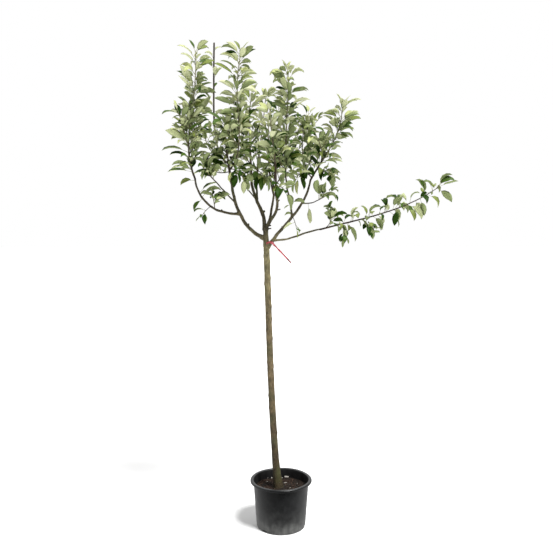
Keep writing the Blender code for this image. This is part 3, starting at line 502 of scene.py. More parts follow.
sprayRows = [
    ("far_left_spray", "far_left_limb", [
        ("far_left_whip", "tip", 1.0, (25, -68, -24, 35, -7), 0.565, 0.0042, 0.0011, "upright", (244, 182), 3, 0.03),
        ("far_left_inner", "far_left_whip", 0.183, (75, 75, 37, 27, 25), 0.260, 0.0022, 0.0010, "young", (248, 117), 0,
         0.10),
        ("far_left_outer", "far_left_whip", 0.238, (-105, -127, 31, 27, 27), 0.175, 0.0022, 0.0010, "young",
         (212, 159), 0, 0.10),
    ]),
    ("left_spray", "left_bough", [
        ("left_stem", "tip", 1.0, (192, 74, 10, 5, 21), 0.225, 0.0058, 0.0018, "old", (169, 12), 4, 0.08),
        ("left_front_whip", "left_stem", 0.102, (-44, -168, 55, 0, -11), 0.552, 0.0034, 0.0011, "upright",
         (212, 141), 2, 0.12),
        ("left_bare_whip", "left_stem", 0.243, (124, 74, 70, -9, 5), 0.701, 0.0030, 0.0012, "sparse",
         (129, 188), 1, 0.15),
        ("left_back_whip", "left_bare_whip", 0.104, (146, 128, 83, 13, 29), 0.237, 0.0020, 0.0010, "young",
         (262, 195), 0, 0.15),
        ("left_low_side", "left_stem", 0.080, (159, 143, 101, 88, 39), 0.124, 0.0022, 0.0011, "cluster",
         (281, 143), 0, 0.25),
        ("left_inner_side", "left_stem", 0.120, (-57, -31, 80, 122, 146), 0.127, 0.0022, 0.0011, "cluster",
         (187, 105), 0, 0.25),
        ("left_front_side", "left_front_whip", 0.259, (-104, -158, 82, 52, 23), 0.129, 0.0018, 0.0010,
         "cluster", (158, 2), 0, 0.20),
    ]),
    ("mid_left_spray", "mid_left_bough", [
        ("mid_left_whip", "tip", 1.0, (141, 346, 4, -2, 19), 0.360, 0.0058, 0.0012, "inner", (155, 1), 2, 0.10),
        ("mid_left_back", "mid_left_whip", 0.07, (125, 88, 46, 57, 9), 0.274, 0.0026, 0.0010, "young",
         (262, 113), 2, 0.20),
        ("mid_left_side", "mid_left_whip", 0.04, (-55, -43, 93, 122, 139), 0.128, 0.0022, 0.0011, "cluster",
         (190, 120), 0, 0.30),
    ]),
    ("mid_fork_spray", "mid_left_fork", [
        ("mid_fork_whip", "tip", 1.0, (86, 63, 26, 27, 9), 0.495, 0.0050, 0.0012, "inner", (146, 120), 4, 0.15),
    ]),
    ("mid_back_spray", "mid_right_back_bough", [
        ("mid_back_whip", "tip", 1.0, (116, 74, 31, 15, 20), 0.480, 0.0050, 0.0012, "inner", (185, 47), 3, 0.18),
        ("mid_back_inner", "mid_back_whip", 0.04, (68, 43, 12, 18, -7), 0.420, 0.0032, 0.0011, "inner",
         (112, 108), 1, 0.26),
        ("mid_back_right", "mid_back_whip", 0.06, (32, 82, 36, 46, 16), 0.395, 0.0030, 0.0011, "inner",
         (105, 164), 2, 0.22),
    ]),
    ("mid_front_spray", "mid_right_front_bough", [
        ("mid_front_whip", "tip", 1.0, (-84, -126, 18, 37, 1), 0.365, 0.0052, 0.0012, "inner", (155, 89), 2, 0.20),
        ("mid_front_twig", "mid_front_whip", 0.03, (-50, -57, 34, 97, 135), 0.072, 0.0020, 0.0011, "cluster",
         (291, 152), 0, 0.40),
    ]),
    ("right_upright_spray", "right_upright_limb", [
        ("right_upright_whip", "tip", 1.0, (-91, -64, 5, 20, -5), 0.470, 0.0038, 0.0011, "upright",
         (183, 134), 1, 0.05),
        ("right_upright_side", "right_upright_whip", 0.07, (-133, -95, 74, 48, 12), 0.122, 0.0020, 0.0011,
         "cluster", (164, 142), 0, 0.25),
    ]),
    ("right_spray", "right_bough", [
        ("right_whip", "tip", 1.0, (-4, -43, 28, 48, -4), 0.385, 0.0045, 0.0011, "upright", (129, 77), 1, 0.16),
        ("right_back_whip", "right_whip", 0.03, (136, 43, 47, 4, 36), 0.382, 0.0028, 0.0010, "inner",
         (118, 182), 1, 0.10),
        ("right_back_side", "right_back_whip", 0.556, (-23, -43, 32, 41, 49), 0.130, 0.0016, 0.0010, "young",
         (178, 67), 0, 0.20),
        ("right_low_side", "right_whip", 0.148, (-52, -40, 90, 118, 128), 0.102, 0.0020, 0.0011, "cluster",
         (230, 57), 0, 0.30),
        ("right_front_side", "right_whip", 0.237, (-77, -139, 45, 61, 34), 0.200, 0.0022, 0.0010, "young",
         (120, 13), 0, 0.15),
        ("right_inner_side", "right_whip", 0.04, (-142, -117, 61, 83, 142), 0.132, 0.0022, 0.0011, "cluster",
         (136, 188), 0, 0.25),
        ("right_back_short", "right_whip", 0.10, (141, 52, 44, 31, 36), 0.154, 0.0020, 0.0011, "cluster",
         (281, 157), 0, 0.25),
    ]),
    ("right_twig_spray", "right_twig", [
        ("right_twig_end", "tip", 1.0, (-32, -10, 70, 62, 55), 0.077, 0.0022, 0.0011, "cluster", (216, 54), 0, 0.15),
    ]),
    ("lateral_spray", "lateral_limb", [
        ("lateral_shoot", "tip", 1.0, (-6, -5, 75, 82, 53), 0.580, 0.0039, 0.0012, "hanging", (143, 178), 0, 0.03),
        ("lateral_up_side", "lateral_shoot", 0.033, (43, -102, 63, 12, -58), 0.105, 0.0018, 0.0010, "cluster",
         (136, 28), 0, 0.25),
        ("lateral_low_side", "lateral_shoot", 0.163, (-44, -70, 135, 156, 168), 0.058, 0.0015, 0.0010,
         "sparse", (176, 9), 0, 0.60),
        ("lateral_far_side", "lateral_shoot", 0.339, (-32, -37, 139, 148, 153), 0.070, 0.0015, 0.0010,
         "cluster", (227, 179), 0, 0.35),
    ]),
    ("left_twig_spray", "left_twig", [
        ("left_twig_end", "tip", 1.0, (-139, -147, 54, 49, 43), 0.090, 0.0027, 0.0011, "cluster", (218, 10), 0, 0.20),
    ]),
    ("left_spur_spray", "far_left_limb", [
        ("left_spur", 0.422, 0.0, (-84, -122, 57, 20, 16), 0.071, 0.0018, 0.0011, "cluster", (164, 10), 0, 0.20),
    ]),
    ("low_left_spray", "far_left_limb", [
        ("low_left_twig", 0.494, 0.0, (-121, -137, 115, 124, 143), 0.060, 0.0015, 0.0010, "sparse", (165, 102), 0,
         0.50),
    ]),
    ("drooping_spray", "right_bough", [
        ("drooping_twig", 0.506, 0.0, (-74, -63, 119, 142, 157), 0.069, 0.0014, 0.0010, "sparse", (300, 127), 0,
         0.50),
    ]),
]

# Single leaves that stand apart: mass, what bears it, place along that, azimuth and lean, then droop
# of the outer half, roll and length
looseLeafRows = [
    ("left_spur_spray", "far_left_limb", 0.985, 180, 86, 53, 55, 0.079),
    ("left_spur_spray", "far_left_limb", 0.692, 180, 144, 7, 60, 0.071),
    ("left_spur_spray", "far_left_limb", 0.785, 0, 45, 38, -30, 0.100),
    ("left_spur_spray", "far_left_limb", 0.700, 0, 42, 72, 35, 0.118),
    ("right_upright_spray", "right_upright_limb", 0.342, 0, 69, 55, 60, 0.078),
    ("right_upright_spray", "right_upright_limb", 0.320, 180, 120, 10, -20, 0.038),
    ("right_upright_spray", "right_upright_limb", 0.655, 0, 154, 26, 60, 0.072),
    ("right_spray", "right_bough", 0.525, 180, 66, 64, -30, 0.050),
    ("lateral_spray", "lateral_shoot", 0.258, 0, 2, 49, 30, 0.078),
    ("lateral_spray", "lateral_shoot", 0.180, 0, 174, 12, 65, 0.081),
    ("lateral_spray", "lateral_shoot", 0.212, 0, 168, 33, -30, 0.040),
    ("lateral_spray", "lateral_shoot", 0.372, 180, 4, 56, 50, 0.070),
    ("lateral_spray", "lateral_shoot", 0.475, 0, 17, 82, -20, 0.073),
    ("lateral_spray", "lateral_shoot", 0.338, 0, 145, 18, 25, 0.110),
    ("lateral_spray", "lateral_shoot", 0.458, 0, 124, 48, 50, 0.055),
    ("lateral_spray", "lateral_shoot", 0.645, 180, 22, 102, 45, 0.118),
    ("lateral_spray", "lateral_shoot", 0.645, 0, 1, 139, -40, 0.112),
    ("lateral_spray", "lateral_shoot", 0.640, 180, 158, 20, 78, 0.088),
    ("lateral_spray", "lateral_shoot", 0.705, 0, 111, 58, 30, 0.111),
    ("lateral_spray", "lateral_shoot", 0.870, 180, 9, 63, -50, 0.100),
    ("lateral_spray", "lateral_shoot", 0.870, 180, 21, 6, 40, 0.083),
    ("lateral_spray", "lateral_shoot", 0.908, 180, 93, 57, 65, 0.054),
    ("lateral_spray", "lateral_shoot", 0.818, 0, 158, 17, 60, 0.084),
    ("lateral_spray", "lateral_shoot", 0.975, 0, 41, 75, -40, 0.111),
    ("lateral_spray", "lateral_shoot", 0.988, 0, 22, 68, 35, 0.100),
    ("lateral_spray", "lateral_shoot", 0.972, 0, 122, 26, 58, 0.098),
    ("right_twig_spray", "right_twig", 0.395, 0, 173, 2, 18, 0.096),
    ("right_spray", "right_low_side", 0.272, 0, 97, 26, 25, 0.092),
    ("right_spray", "right_low_side", 0.372, 0, 125, 12, 40, 0.086),
    ("right_twig_spray", "right_twig_end", 0.138, 0, 56, 48, 30, 0.095),
    ("mid_left_spray", "mid_left_side", 0.05, 180, 159, 7, 40, 0.105),
    ("mid_left_spray", "mid_left_side", 0.30, 0, 150, 20, -35, 0.090),
    ("mid_front_spray", "mid_front_whip", 0.02, 0, 40, 105, 35, 0.098),
]

foliageSettings = {
    # spacing, length with the stalk, rise from the twig, droop of the outer half
    "habits": {
        "upright": (0.0215, 0.100, 51, 52),
        "inner": (0.0290, 0.094, 54, 54),
        "young": (0.0280, 0.086, 46, 42),
        "old": (0.0300, 0.088, 62, 62),
        "sparse": (0.0750, 0.074, 48, 50),
        "hanging": (0.0230, 0.096, 64, 95),
        "cluster": (0.0160, 0.078, 56, 70),
    },
    # how far the stalk turns the leaf up, and the blade's width as a share of its length
    "leafWays": {
        "upright": (0.0, 0.370),
        "inner": (0.22, 0.400),
        "young": (0.10, 0.365),
        "old": (0.30, 0.410),
        "sparse": (0.30, 0.360),
        "hanging": (0.0, 0.400),
        "cluster": (0.62, 0.430),
    },
    "looseWidth": 0.47,
    "turn": 137.5,
    "clearance": 0.004,
    "ownMargin": 0.0035,
    "spurLeaves": 5,
    "spurLength": 0.066,
    # further leaves for each solid one, by habit, and their size
    "further": {
        "upright": (3.5, 1.04),
        "inner": (1.05, 1.0),
        "young": (1.6, 1.0),
        "old": (3.5, 1.10),
        "sparse": (0.8, 1.0),
        "hanging": (0.7, 1.0),
        "cluster": (2.3, 1.20),
    },
    # their two layers: share and range of size
    "layers": [(0.6, 0.84, 1.30), (0.4, 0.42, 0.80)],
    "apart": (0.016, 0.012),
    "twigSpacing": 0.085,
}

leafSettings = {
    "stalkShare": 0.20,
    "thickness": 0.0009,
    # share of the blade's length, and half width there as a share of the widest
    "outline": [(0.0, 0.0), (0.13, 0.60), (0.34, 0.97), (0.57, 0.94), (0.80, 0.55), (1.0, 0.0)],
    "arch": 1.30,
    "fold": 46,
    "recurve": 0.40,
    "twist": 34,
    "stalkRadius": 0.0010,
}

# Colour, roughness and shine of each tint: four for the upper side, three for the felted underside.
leafTints = {
    "leafDeep": ((0.020, 0.052, 0.004), 0.48, 0.08),
    "leafMid": ((0.057, 0.110, 0.014), 0.46, 0.13),
    "leafFresh": ((0.176, 0.220, 0.050), 0.48, 0.22),
    # The young tint's pale yellow-green is partly painted light, the glow of light shining through thin leaves.
    "leafYoungPaintedGlow": ((0.470, 0.510, 0.215), 0.55, 0.25),
    "leafUnderGrey": ((0.238, 0.288, 0.124), 0.85, 0.12),
    "leafUnderPale": ((0.470, 0.512, 0.275), 0.88, 0.12),
    "leafUnderYoung": ((0.620, 0.650, 0.400), 0.88, 0.15),
    "leafStalk": ((0.240, 0.255, 0.085), 0.60, 0.25),
}

# Height of the leaf's foot, and the share of deep, middle and fresh leaves there; the rest are young, and their pale
# tint higher up is partly painted light shining through the leaves.
tintShares = {"heights": (1.62, 1.88, 2.15), "shares": [(0.52, 0.28, 0.11), (0.34, 0.29, 0.22), (0.15, 0.28, 0.31)]}


def planShoots(limbs):
    shoots = {}
    for mass, limb, rows in sprayRows:
        for name, parent, place, course, length, radius0, radius1, habit, seeds, spurs, bare in rows:
            aim = None
            if parent == "tip":
                end = limbs[limb]["ends"]
                aim = unit(end[-1] - end[-2])
                start = end[-1] + aim * 0.0053
            elif isinstance(parent, float):
                onLimb = limbs[limb]
                radius = np.interp(parent, np.linspace(0, 1, len(onLimb["radii"])), onLimb["radii"])
                aim = heading(course[0], course[2])
                slope = abs(float(aim @ directionAt(onLimb["line"], parent)))
                stand = (radius + 0.0003 + radius0 * slope) / math.sqrt(1.0 - slope * slope)
                start = pointAt(onLimb["line"], parent) + aim * stand
            else:
                start = pointAt(shoots[parent]["line"], place)
            steps = max(3, round(length / 0.060))
            line = growLine(start, course, length, max(12, 2 * steps))
            shoots[name] = {"mass": mass, "line": line, "length": length, "habit": habit, "seeds": seeds,
                            "spurs": spurs, "bare": bare, "radii": (radius0, radius1),
                            "foot": None if aim is None else start - aim * 0.008}
    return shoots


def planSpaces(limbs, shoots):
    spaces = {}
    for shoot in shoots.values():
        spaces.setdefault(shoot["mass"], []).append(samples(shoot["line"], 0.010))
    spaces = {mass: np.concatenate(parts) for mass, parts in spaces.items()}
    wood = []
    reach = []
    for limb in limbs.values():
        points = samples(limb["line"], 0.005)
        wood.append(points)
        reach.append(spread(limb["radii"], len(points)))
    return spaces, np.concatenate(wood), np.concatenate(reach)


def nearest(points, cloud):
    return np.sqrt(((points[:, None, :] - cloud[None, :, :]) ** 2).sum(2)).min(1)


def makeRoomTest(mass, spaces, wood, reach):
    own = spaces[mass]
    others = np.concatenate([cloud for name, cloud in spaces.items() if name != mass])

    def hasRoom(points, clearance=foliageSettings["clearance"]):
        points = np.array(points)
        if np.any(nearest(points, own) + foliageSettings["ownMargin"] > nearest(points, others)):
            return False
        gaps = np.sqrt(((points[:, None, :] - wood[None, :, :]) ** 2).sum(2)) - reach[None, :]
        return bool(gaps.min() > clearance)

    return hasRoom


def layLeaf(foot, twig, turn, rise, droop, roll, size, lift):
    # The stalk turns the leaf a little up to the light.
    out = sideOf(twig, turn)
    a = math.radians(rise)
    first = unit(twig * math.cos(a) + out * math.sin(a) + np.array([0.0, 0.0, lift]))
    return setBlade(foot, first, out, droop, roll, size)


def setBlade(foot, first, out, droop, roll, size):
    down = np.array([0.0, 0.0, -1.0])
    across = unit(np.cross(first, down) + out * 1e-4)
    fall = math.acos(max(-1.0, min(1.0, float(first @ down))))
    bend = min(math.radians(droop), fall)
    second = first * math.cos(bend) + np.cross(-across, first) * math.sin(bend) * -1.0
    if second @ down < first @ down:
        second = first * math.cos(bend) + np.cross(-across, first) * math.sin(bend)
    r = math.radians(roll)
    face = np.cross(across, first)
    across = across * math.cos(r) + face * math.sin(r)
    face = unit(np.cross(across, first))
    if face[2] < 0:
        face = -face
    middle = foot + first * size * 0.58
    tip = middle + unit(second) * size * 0.42
    half = across * size * 0.225
    return {"foot": foot, "first": first, "middle": middle, "tip": tip, "left": middle - half,
            "right": middle + half, "face": face, "across": across, "size": size}


def leafMarks(leaf):
    middle, tip, left, right = leaf["middle"], leaf["tip"], leaf["left"], leaf["right"]
    return [middle, tip, left, right, (left + tip) / 2, (right + tip) / 2, leaf["foot"] * 0.4 + middle * 0.6,
            (left + middle) / 2, (right + middle) / 2, (middle + tip) / 2]


def fitLeaf(habit, foot, twig, turn, rise, droop, roll, size, hasRoom):
    lift, width = foliageSettings["leafWays"][habit]
    for share in (1.0, 0.82, 0.66):
        leaf = layLeaf(foot, twig, turn, rise, droop, roll, size * share, lift)
        if hasRoom(leafMarks(leaf)):
            leaf["width"] = width
            return leaf
    return None


def dressLine(line, length, habit, bare, rng, hasRoom):
    spacing, size, rise, droop = foliageSettings["habits"][habit]
    leaves = []
    reach = bare * length + spacing * rng.uniform(0.2, 0.8)
    turn = rng.uniform(0, 360)
    while reach < length - 0.006:
        place = reach / length
        full = size * rng.uniform(0.82, 1.15)
        ownRise = rise + rng.uniform(-14, 14)
        ownDroop = droop + rng.uniform(-22, 22)
        roll = rng.uniform(-62, 62)
        leaf = fitLeaf(habit, pointAt(line, place), directionAt(line, place), turn, ownRise, ownDroop, roll,
                       full, hasRoom)
        if leaf:
            leaves.append(leaf)
        reach += spacing * rng.uniform(0.8, 1.25)
        turn += foliageSettings["turn"] + rng.uniform(-18, 18)
    for i in range(0 if habit == "sparse" and length > 0.3 else 2):
        leaf = fitLeaf(habit, pointAt(line, 0.99), directionAt(line, 1.0), turn + 180 * i, 20 + 14 * i, 16, 10,
                       size * (0.62 if habit != "hanging" else 0.95), hasRoom)
        if leaf:
            leaves.append(leaf)
    return leaves


def addLooseLeaves(mass, limbs, shoots):
    leaves = []
    for owner, bearer, place, azimuth, lean, droop, roll, size in looseLeafRows:
        if owner == mass:
            line = (limbs if bearer in limbs else shoots)[bearer]["line"]
            leaves.append(setBlade(pointAt(line, place), heading(azimuth, lean), heading(azimuth, 90), droop, roll,
                                   size))
            leaves[-1]["width"] = foliageSettings["looseWidth"]
    return leaves


def dressShoot(shoot, hasRoom):
    rng = random.Random(shoot["seeds"][0])
    leaves = dressLine(shoot["line"], shoot["length"], shoot["habit"], shoot["bare"], rng, hasRoom)
    spurs = []
    turn = rng.uniform(0, 360)
    for i in range(shoot["spurs"]):
        place = 0.07 + 0.50 * (i + rng.uniform(0.2, 0.8)) / shoot["spurs"]
        aim = directionAt(shoot["line"], place)
        lean = math.radians(rng.uniform(42, 62))
        out = unit(aim * math.cos(lean) + sideOf(aim, turn) * math.sin(lean))
        span = foliageSettings["spurLength"] * rng.uniform(0.7, 1.35)
        foot = pointAt(shoot["line"], place)
        bent = unit(out + np.array([0.0, 0.0, 0.35]))
        line = np.array([foot, foot + out * span * 0.5, foot + out * span * 0.5 + bent * span * 0.5])
        own = random.Random(rng.random())
        turn += foliageSettings["turn"]
        if not hasRoom(line[1:], 0.006):
            continue
        spurs.append(line)
        leaves += dressLine(line, span, "cluster", 0.25, own, hasRoom)[:foliageSettings["spurLeaves"]]
    return leaves, spurs


def thickenShoot(shoot, leaves, hasRoom):
    # Further leaves and fine side twigs in the same space, which the solids leave out.
    settings = foliageSettings
    spacing, size, rise, droop = settings["habits"][shoot["habit"]]
    count, growth = settings["further"][shoot["habit"]]
    full = shoot["length"] * (1 - shoot["bare"]) / spacing * count
    more, fine = [], []
    for layer, (share, low, high) in enumerate(settings["layers"]):
        rng = random.Random(shoot["seeds"][1] + 1000 * layer)
        wanted = len(more) + max(1, int(full * share))
        for _ in range(4 * wanted):
            place = shoot["bare"] + (0.98 - shoot["bare"]) * rng.random()
            leaf = fitLeaf(shoot["habit"], pointAt(shoot["line"], place), directionAt(shoot["line"], place),
                           rng.uniform(0, 360), rise + rng.uniform(-18, 16), droop + rng.uniform(-38, 22),
                           rng.uniform(-62, 62), size * growth * rng.uniform(low, high), hasRoom)
            taken = [other["middle"] for other in leaves + more]
            if leaf and nearest(leaf["middle"][None, :], np.array(taken or [(9, 9, 9)]))[0] > settings["apart"][layer]:
                more.append(leaf)
            if len(more) >= wanted:
                break
        if layer == 0 and shoot["habit"] in ("inner", "old", "young"):
            for _ in range(int(shoot["length"] / settings["twigSpacing"])):
                place = max(0.12, shoot["bare"]) + 0.62 * rng.random()
                aim = directionAt(shoot["line"], place)
                lean = math.radians(rng.uniform(38, 60))
                out = unit(aim * math.cos(lean) + sideOf(aim, rng.uniform(0, 360)) * math.sin(lean))
                span = rng.uniform(0.035, 0.065)
                foot = pointAt(shoot["line"], min(place, 0.85))
                line = np.array([foot, foot + out * span * 0.5, foot + out * span + (0, 0, span * 0.12)])
                own = random.Random(rng.random())
                if hasRoom(line[1:], 0.005):
                    fine.append(line)
                    more += dressLine(line, span, "cluster", 0.3, own, hasRoom)[:4]
    return more, fine


def modelLeaf(settings):
    # One flat blade from 0 to 1 along Y, its underside joined on at the margin.
    outline = settings["outline"]
    bpy.ops.mesh.primitive_grid_add(x_subdivisions=4, y_subdivisions=len(outline) - 1, size=1,
                                    location=(0, 0.5, 0))
    blade = bpy.context.object
    bpy.ops.object.transform_apply(location=True)
    bpy.ops.object.mode_set(mode="EDIT")
    work = bmesh.from_edit_mesh(blade.data)
    rows = sorted({round(v.co.y, 4) for v in work.verts})
    for (place, half), row in zip(outline, rows):
        bpy.ops.mesh.select_all(action="DESELECT")
        for v in work.verts:
            v.select_set(abs(v.co.y - row) < 0.001)
        bmesh.update_edit_mesh(blade.data)
        bpy.ops.transform.resize(value=(max(half, 0.0001), 1, 1), center_override=(0, row, 0))
    for (place, half), row in zip(outline, rows):
        for v in work.verts:
            if abs(v.co.y - row) < 0.001:
                v.co.y = place + 10
    for v in work.verts:
        v.co.y -= 10
    bpy.ops.mesh.select_all(action="SELECT")
    bpy.ops.mesh.duplicate()
    bpy.ops.mesh.flip_normals()
    for v in work.verts:
        inner = abs(v.co.x) < 0.499 * 2 * np.interp(v.co.y, *zip(*outline)) * 0.5 - 0.0005
        v.co.z = 0.5 if inner else 0.0
        if v.select and inner:
            v.co.z = -0.5
    bpy.ops.mesh.select_all(action="SELECT")
    bpy.ops.mesh.remove_doubles(threshold=0.0006)
    bpy.ops.object.mode_set(mode="OBJECT")
    points, _ = readPoints(blade)
    faces = [list(face.vertices) for face in blade.data.polygons]
    upper = [np.mean([points[i][2] for i in face]) > 0 for face in faces]
    mesh = blade.data
    bpy.data.objects.remove(blade)
    bpy.data.meshes.remove(mesh)
    return points, faces, upper


def bendLeaf(leaf, model, rng, settings):
    # The blade follows the leaf's own arch, folded at the midrib and curled at the margin.
    points = model[0]
    size = leaf["size"]
    foot, middle, tip = leaf["foot"], leaf["middle"], leaf["tip"]
    control = middle * settings["arch"] + (foot + tip) * (1 - settings["arch"]) / 2
    s = settings["stalkShare"] + (1 - settings["stalkShare"]) * points[:, 1]

    def curve(t):
        t = t[:, None]
        return foot * (1 - t) ** 2 + control * 2 * t * (1 - t) + tip * t * t

    def slope(t):
        t = t[:, None]
        way = (control - foot) * (1 - t) + (tip - control) * t
        return way / np.linalg.norm(way, axis=1)[:, None]

    along = slope(s)
    across = leaf["across"]
    if np.cross(across, leaf["first"]) @ leaf["face"] < 0:
        across = -across
    side = across - along * (along @ across)[:, None]
    side /= np.linalg.norm(side, axis=1)[:, None]
    up = np.cross(side, along)
    twist = math.radians(rng.uniform(-settings["twist"], settings["twist"])) * points[:, 1]
    side, up = (side * np.cos(twist)[:, None] + up * np.sin(twist)[:, None],
                up * np.cos(twist)[:, None] - side * np.sin(twist)[:, None])
    width = (0.5 * size + 0.045) * leaf["width"] * rng.uniform(0.86, 1.10)
    x = points[:, 0] * width
    fold = math.radians(settings["fold"] * rng.uniform(0.6, 1.3))
    lift = np.abs(x) * math.sin(fold) - settings["recurve"] * rng.uniform(0.2, 1.4) * x * x / (0.5 * width)
    lift += 0.030 * width * np.sin(points[:, 1] * 9 + rng.uniform(0, 6)) * np.sign(x) * np.abs(points[:, 0]) * 2
    thick = max(settings["thickness"], size * 0.010) * points[:, 2]
    return curve(s) + side * (x * math.cos(fold))[:, None] + up * (lift + thick)[:, None]


def leafStalk(leaf, settings):
    # A three-sided stalk from the twig to a little way up the blade.
    control = leaf["middle"] * settings["arch"] + (leaf["foot"] + leaf["tip"]) * (1 - settings["arch"]) / 2
    verts = []
    for t, share in ((-0.02, 1.5), (0.10, 0.9), (0.26, 0.7)):
        centre = leaf["foot"] * (1 - t) ** 2 + control * 2 * t * (1 - t) + leaf["tip"] * t * t
        for k in range(3):
            a = 2 * math.pi * k / 3
            aside = leaf["across"] * math.cos(a) + np.cross(leaf["across"], leaf["first"]) * math.sin(a)
            verts.append(centre + aside * settings["stalkRadius"] * share)
    faces = []
    for i in range(2):
        for k in range(3):
            n = (k + 1) % 3
            faces.append([3 * i + k, 3 * i + 3 + k, 3 * i + 3 + n, 3 * i + n])
    faces += [[0, 1, 2], [8, 7, 6]]
    return verts, faces


def pickTint(leaf, habit, rng):
    # Tips and the upper crown are younger and paler, the paleness partly painted light shining through the leaves; the
    # inside of the crown deeper.
    height = 1.80 if habit == "hanging" else leaf["foot"][2]
    # Small leaves high up take the palest tint, painted light shining through them.
    if leaf["size"] < 0.064 and height > 1.95 and rng.random() < 0.45:
        return 3, 6
    draw = rng.random()
    for top, shares in enumerate(tintShares["shares"]):
        draw -= np.interp(height, tintShares["heights"], shares)
        if draw < 0:
            pale = np.interp(height, tintShares["heights"], (0.04, 0.30, 0.50))
            return top, 5 if rng.random() < pale + 0.10 * top else 4
    return (2, 5) if habit == "hanging" else (3, 6)


def makeLeaves(name, leaves, model, tints):
    verts = []
    faces = []
    slots = []
    rng = random.Random(len(leaves) * 31 + len(name))
    for leaf, habit in leaves:
        top, under = pickTint(leaf, habit, rng)
        start = len(verts)
        verts += list(bendLeaf(leaf, model, rng, leafSettings))
        faces += [[start + i for i in face] for face in model[1]]
        slots += [top if upper else under for upper in model[2]]
        start = len(verts)
        stalk, sides = leafStalk(leaf, leafSettings)
        verts += stalk
        faces += [[start + i for i in face] for face in sides]
        slots += [7] * len(sides)
    return meshPiece(name, verts, faces, tints, slots)


def twigTube(line, radius0, radius1, foot=None):
    points = samples(line, 0.008)
    radii = np.linspace(1, 0, len(points)) ** 0.8 * (radius0 - radius1) + radius1
    if foot is not None:
        points = np.concatenate([[foot], points])
        radii = np.concatenate([[radius0], radii])
    wobble = 0.0004 * np.stack([noiseAt(points, 55), noiseAt(points + 3, 55), noiseAt(points + 6, 55)], 1)
    wobble[0] = 0
    return points + wobble, radii


def whipMaterial(name, low, high):
    # Leafy shoots turn pale and downy towards their tips.
    material = startMaterial(name, low, 0.82, 0.1)
    colour = ramp(material, heightShare(material, 1.72, 2.08), [(0.0, low), (1.0, high)])
    mottle = greys(material, cloudy(material, 38, 4), 0.28, 0.72, 0.5, 1.6)
    colour = blendColours(material, 1.0, colour, mottle, "MULTIPLY")
    fine = cloudy(material, 420, 4, (1, 1, 0.3))
    colour = blendColours(material, 1.0, colour, greys(material, fine, 0.3, 0.65, 0.6, 1.15), "MULTIPLY")
    plugIn(material, colour=colour, normal=bumped(material, fine, 0.4, 0.0006),
           roughness=greys(material, fine, 0.3, 0.7, 0.8, 0.6))
    return material


def growFoliage(limbs):
    shoots = planShoots(limbs)
    spaces, wood, reach = planSpaces(limbs, shoots)
    model = modelLeaf(leafSettings)
    tints = [startMaterial(name, *looks) for name, looks in leafTints.items()]
    whips = [whipMaterial("bareWhipBark", *[(0.042, 0.030, 0.021)] * 2),
             whipMaterial("leafyShootBark", (0.052, 0.038, 0.027), (0.330, 0.310, 0.205))]
    total = 0
    for mass, limb, rows in sprayRows:
        hasRoom = makeRoomTest(mass, spaces, wood, reach)
        leaves = []
        tubes = []
        slots = []
        for row in rows:
            shoot = shoots[row[0]]
            own, spurs = dressShoot(shoot, hasRoom)
            more, fine = thickenShoot(shoot, own, hasRoom)
            leaves += [(leaf, shoot["habit"]) for leaf in own + more]
            first, last = shoot["radii"]
            bare = shoot["habit"] == "sparse" and shoot["length"] > 0.3
            swell, tip = (1.60, 3.7) if bare else (1.08, 1.25)
            slots += [0 if bare else 1] + [1] * (len(spurs) + len(fine))
            tubes.append(twigTube(shoot["line"], first * swell, last * tip, shoot["foot"]))
            tubes += [twigTube(line, 0.0019, 0.0012) for line in spurs]
            tubes += [twigTube(line, 0.0014, 0.0009) for line in fine]
        leaves += [(leaf, "hanging") for leaf in addLooseLeaves(mass, limbs, shoots)]
        words = mass.split("_")
        name = words[0] + "".join(word.capitalize() for word in words[1:])
        leafPiece = makeLeaves(name + "Leaves", leaves, model, tints)
        twigPiece = growCurves(name + "Twigs", tubes, 2, whips, slots)
        for piece, slot in ((leafPiece, "foliage"), (twigPiece, "bark")):
            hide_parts(mass)
            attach(piece, "root")
        total += len(leaves)
    print("foliage:", total, "leaves on", len(sprayRows), "sprays")


# Pot

potSettings = {
    "sides": 112,
    # radius and height from the underside, up the wall, round the lip and down the inside
    "profile": [(0.1160, 0.0), (0.1178, 0.0006), (0.1188, 0.0018), (0.11915, 0.0040), (0.1199, 0.0120),
                (0.1218, 0.0380), (0.1250, 0.0830), (0.1284, 0.1300), (0.1316, 0.1740), (0.1338, 0.2040),
                (0.1340, 0.2100), (0.1350, 0.2108), (0.1356, 0.2118), (0.1357, 0.2222), (0.1366, 0.2236),
                (0.1455, 0.2238), (0.1469, 0.2230), (0.1473, 0.2190), (0.1480, 0.2178), (0.1490, 0.2180),
                (0.1498, 0.2192), (0.1500, 0.2215), (0.1499, 0.2240), (0.1492, 0.2262), (0.1476, 0.2276),
                (0.1455, 0.2280), (0.1420, 0.2277), (0.1385, 0.2275), (0.1358, 0.2272), (0.1342, 0.2260),
                (0.1334, 0.2235), (0.1326, 0.2110), (0.1322, 0.2060), (0.1300, 0.1740), (0.1270, 0.1350),
                (0.1230, 0.0800), (0.1182, 0.0220), (0.1120, 0.0120), (0.1115, 0.0030)],
    "notches": [-132.0, -12.0, 108.0],
    "notchSize": (0.014, 0.028, 0.010),
    "notchDepth": 0.0056,
    "wobble": 0.0011,
}


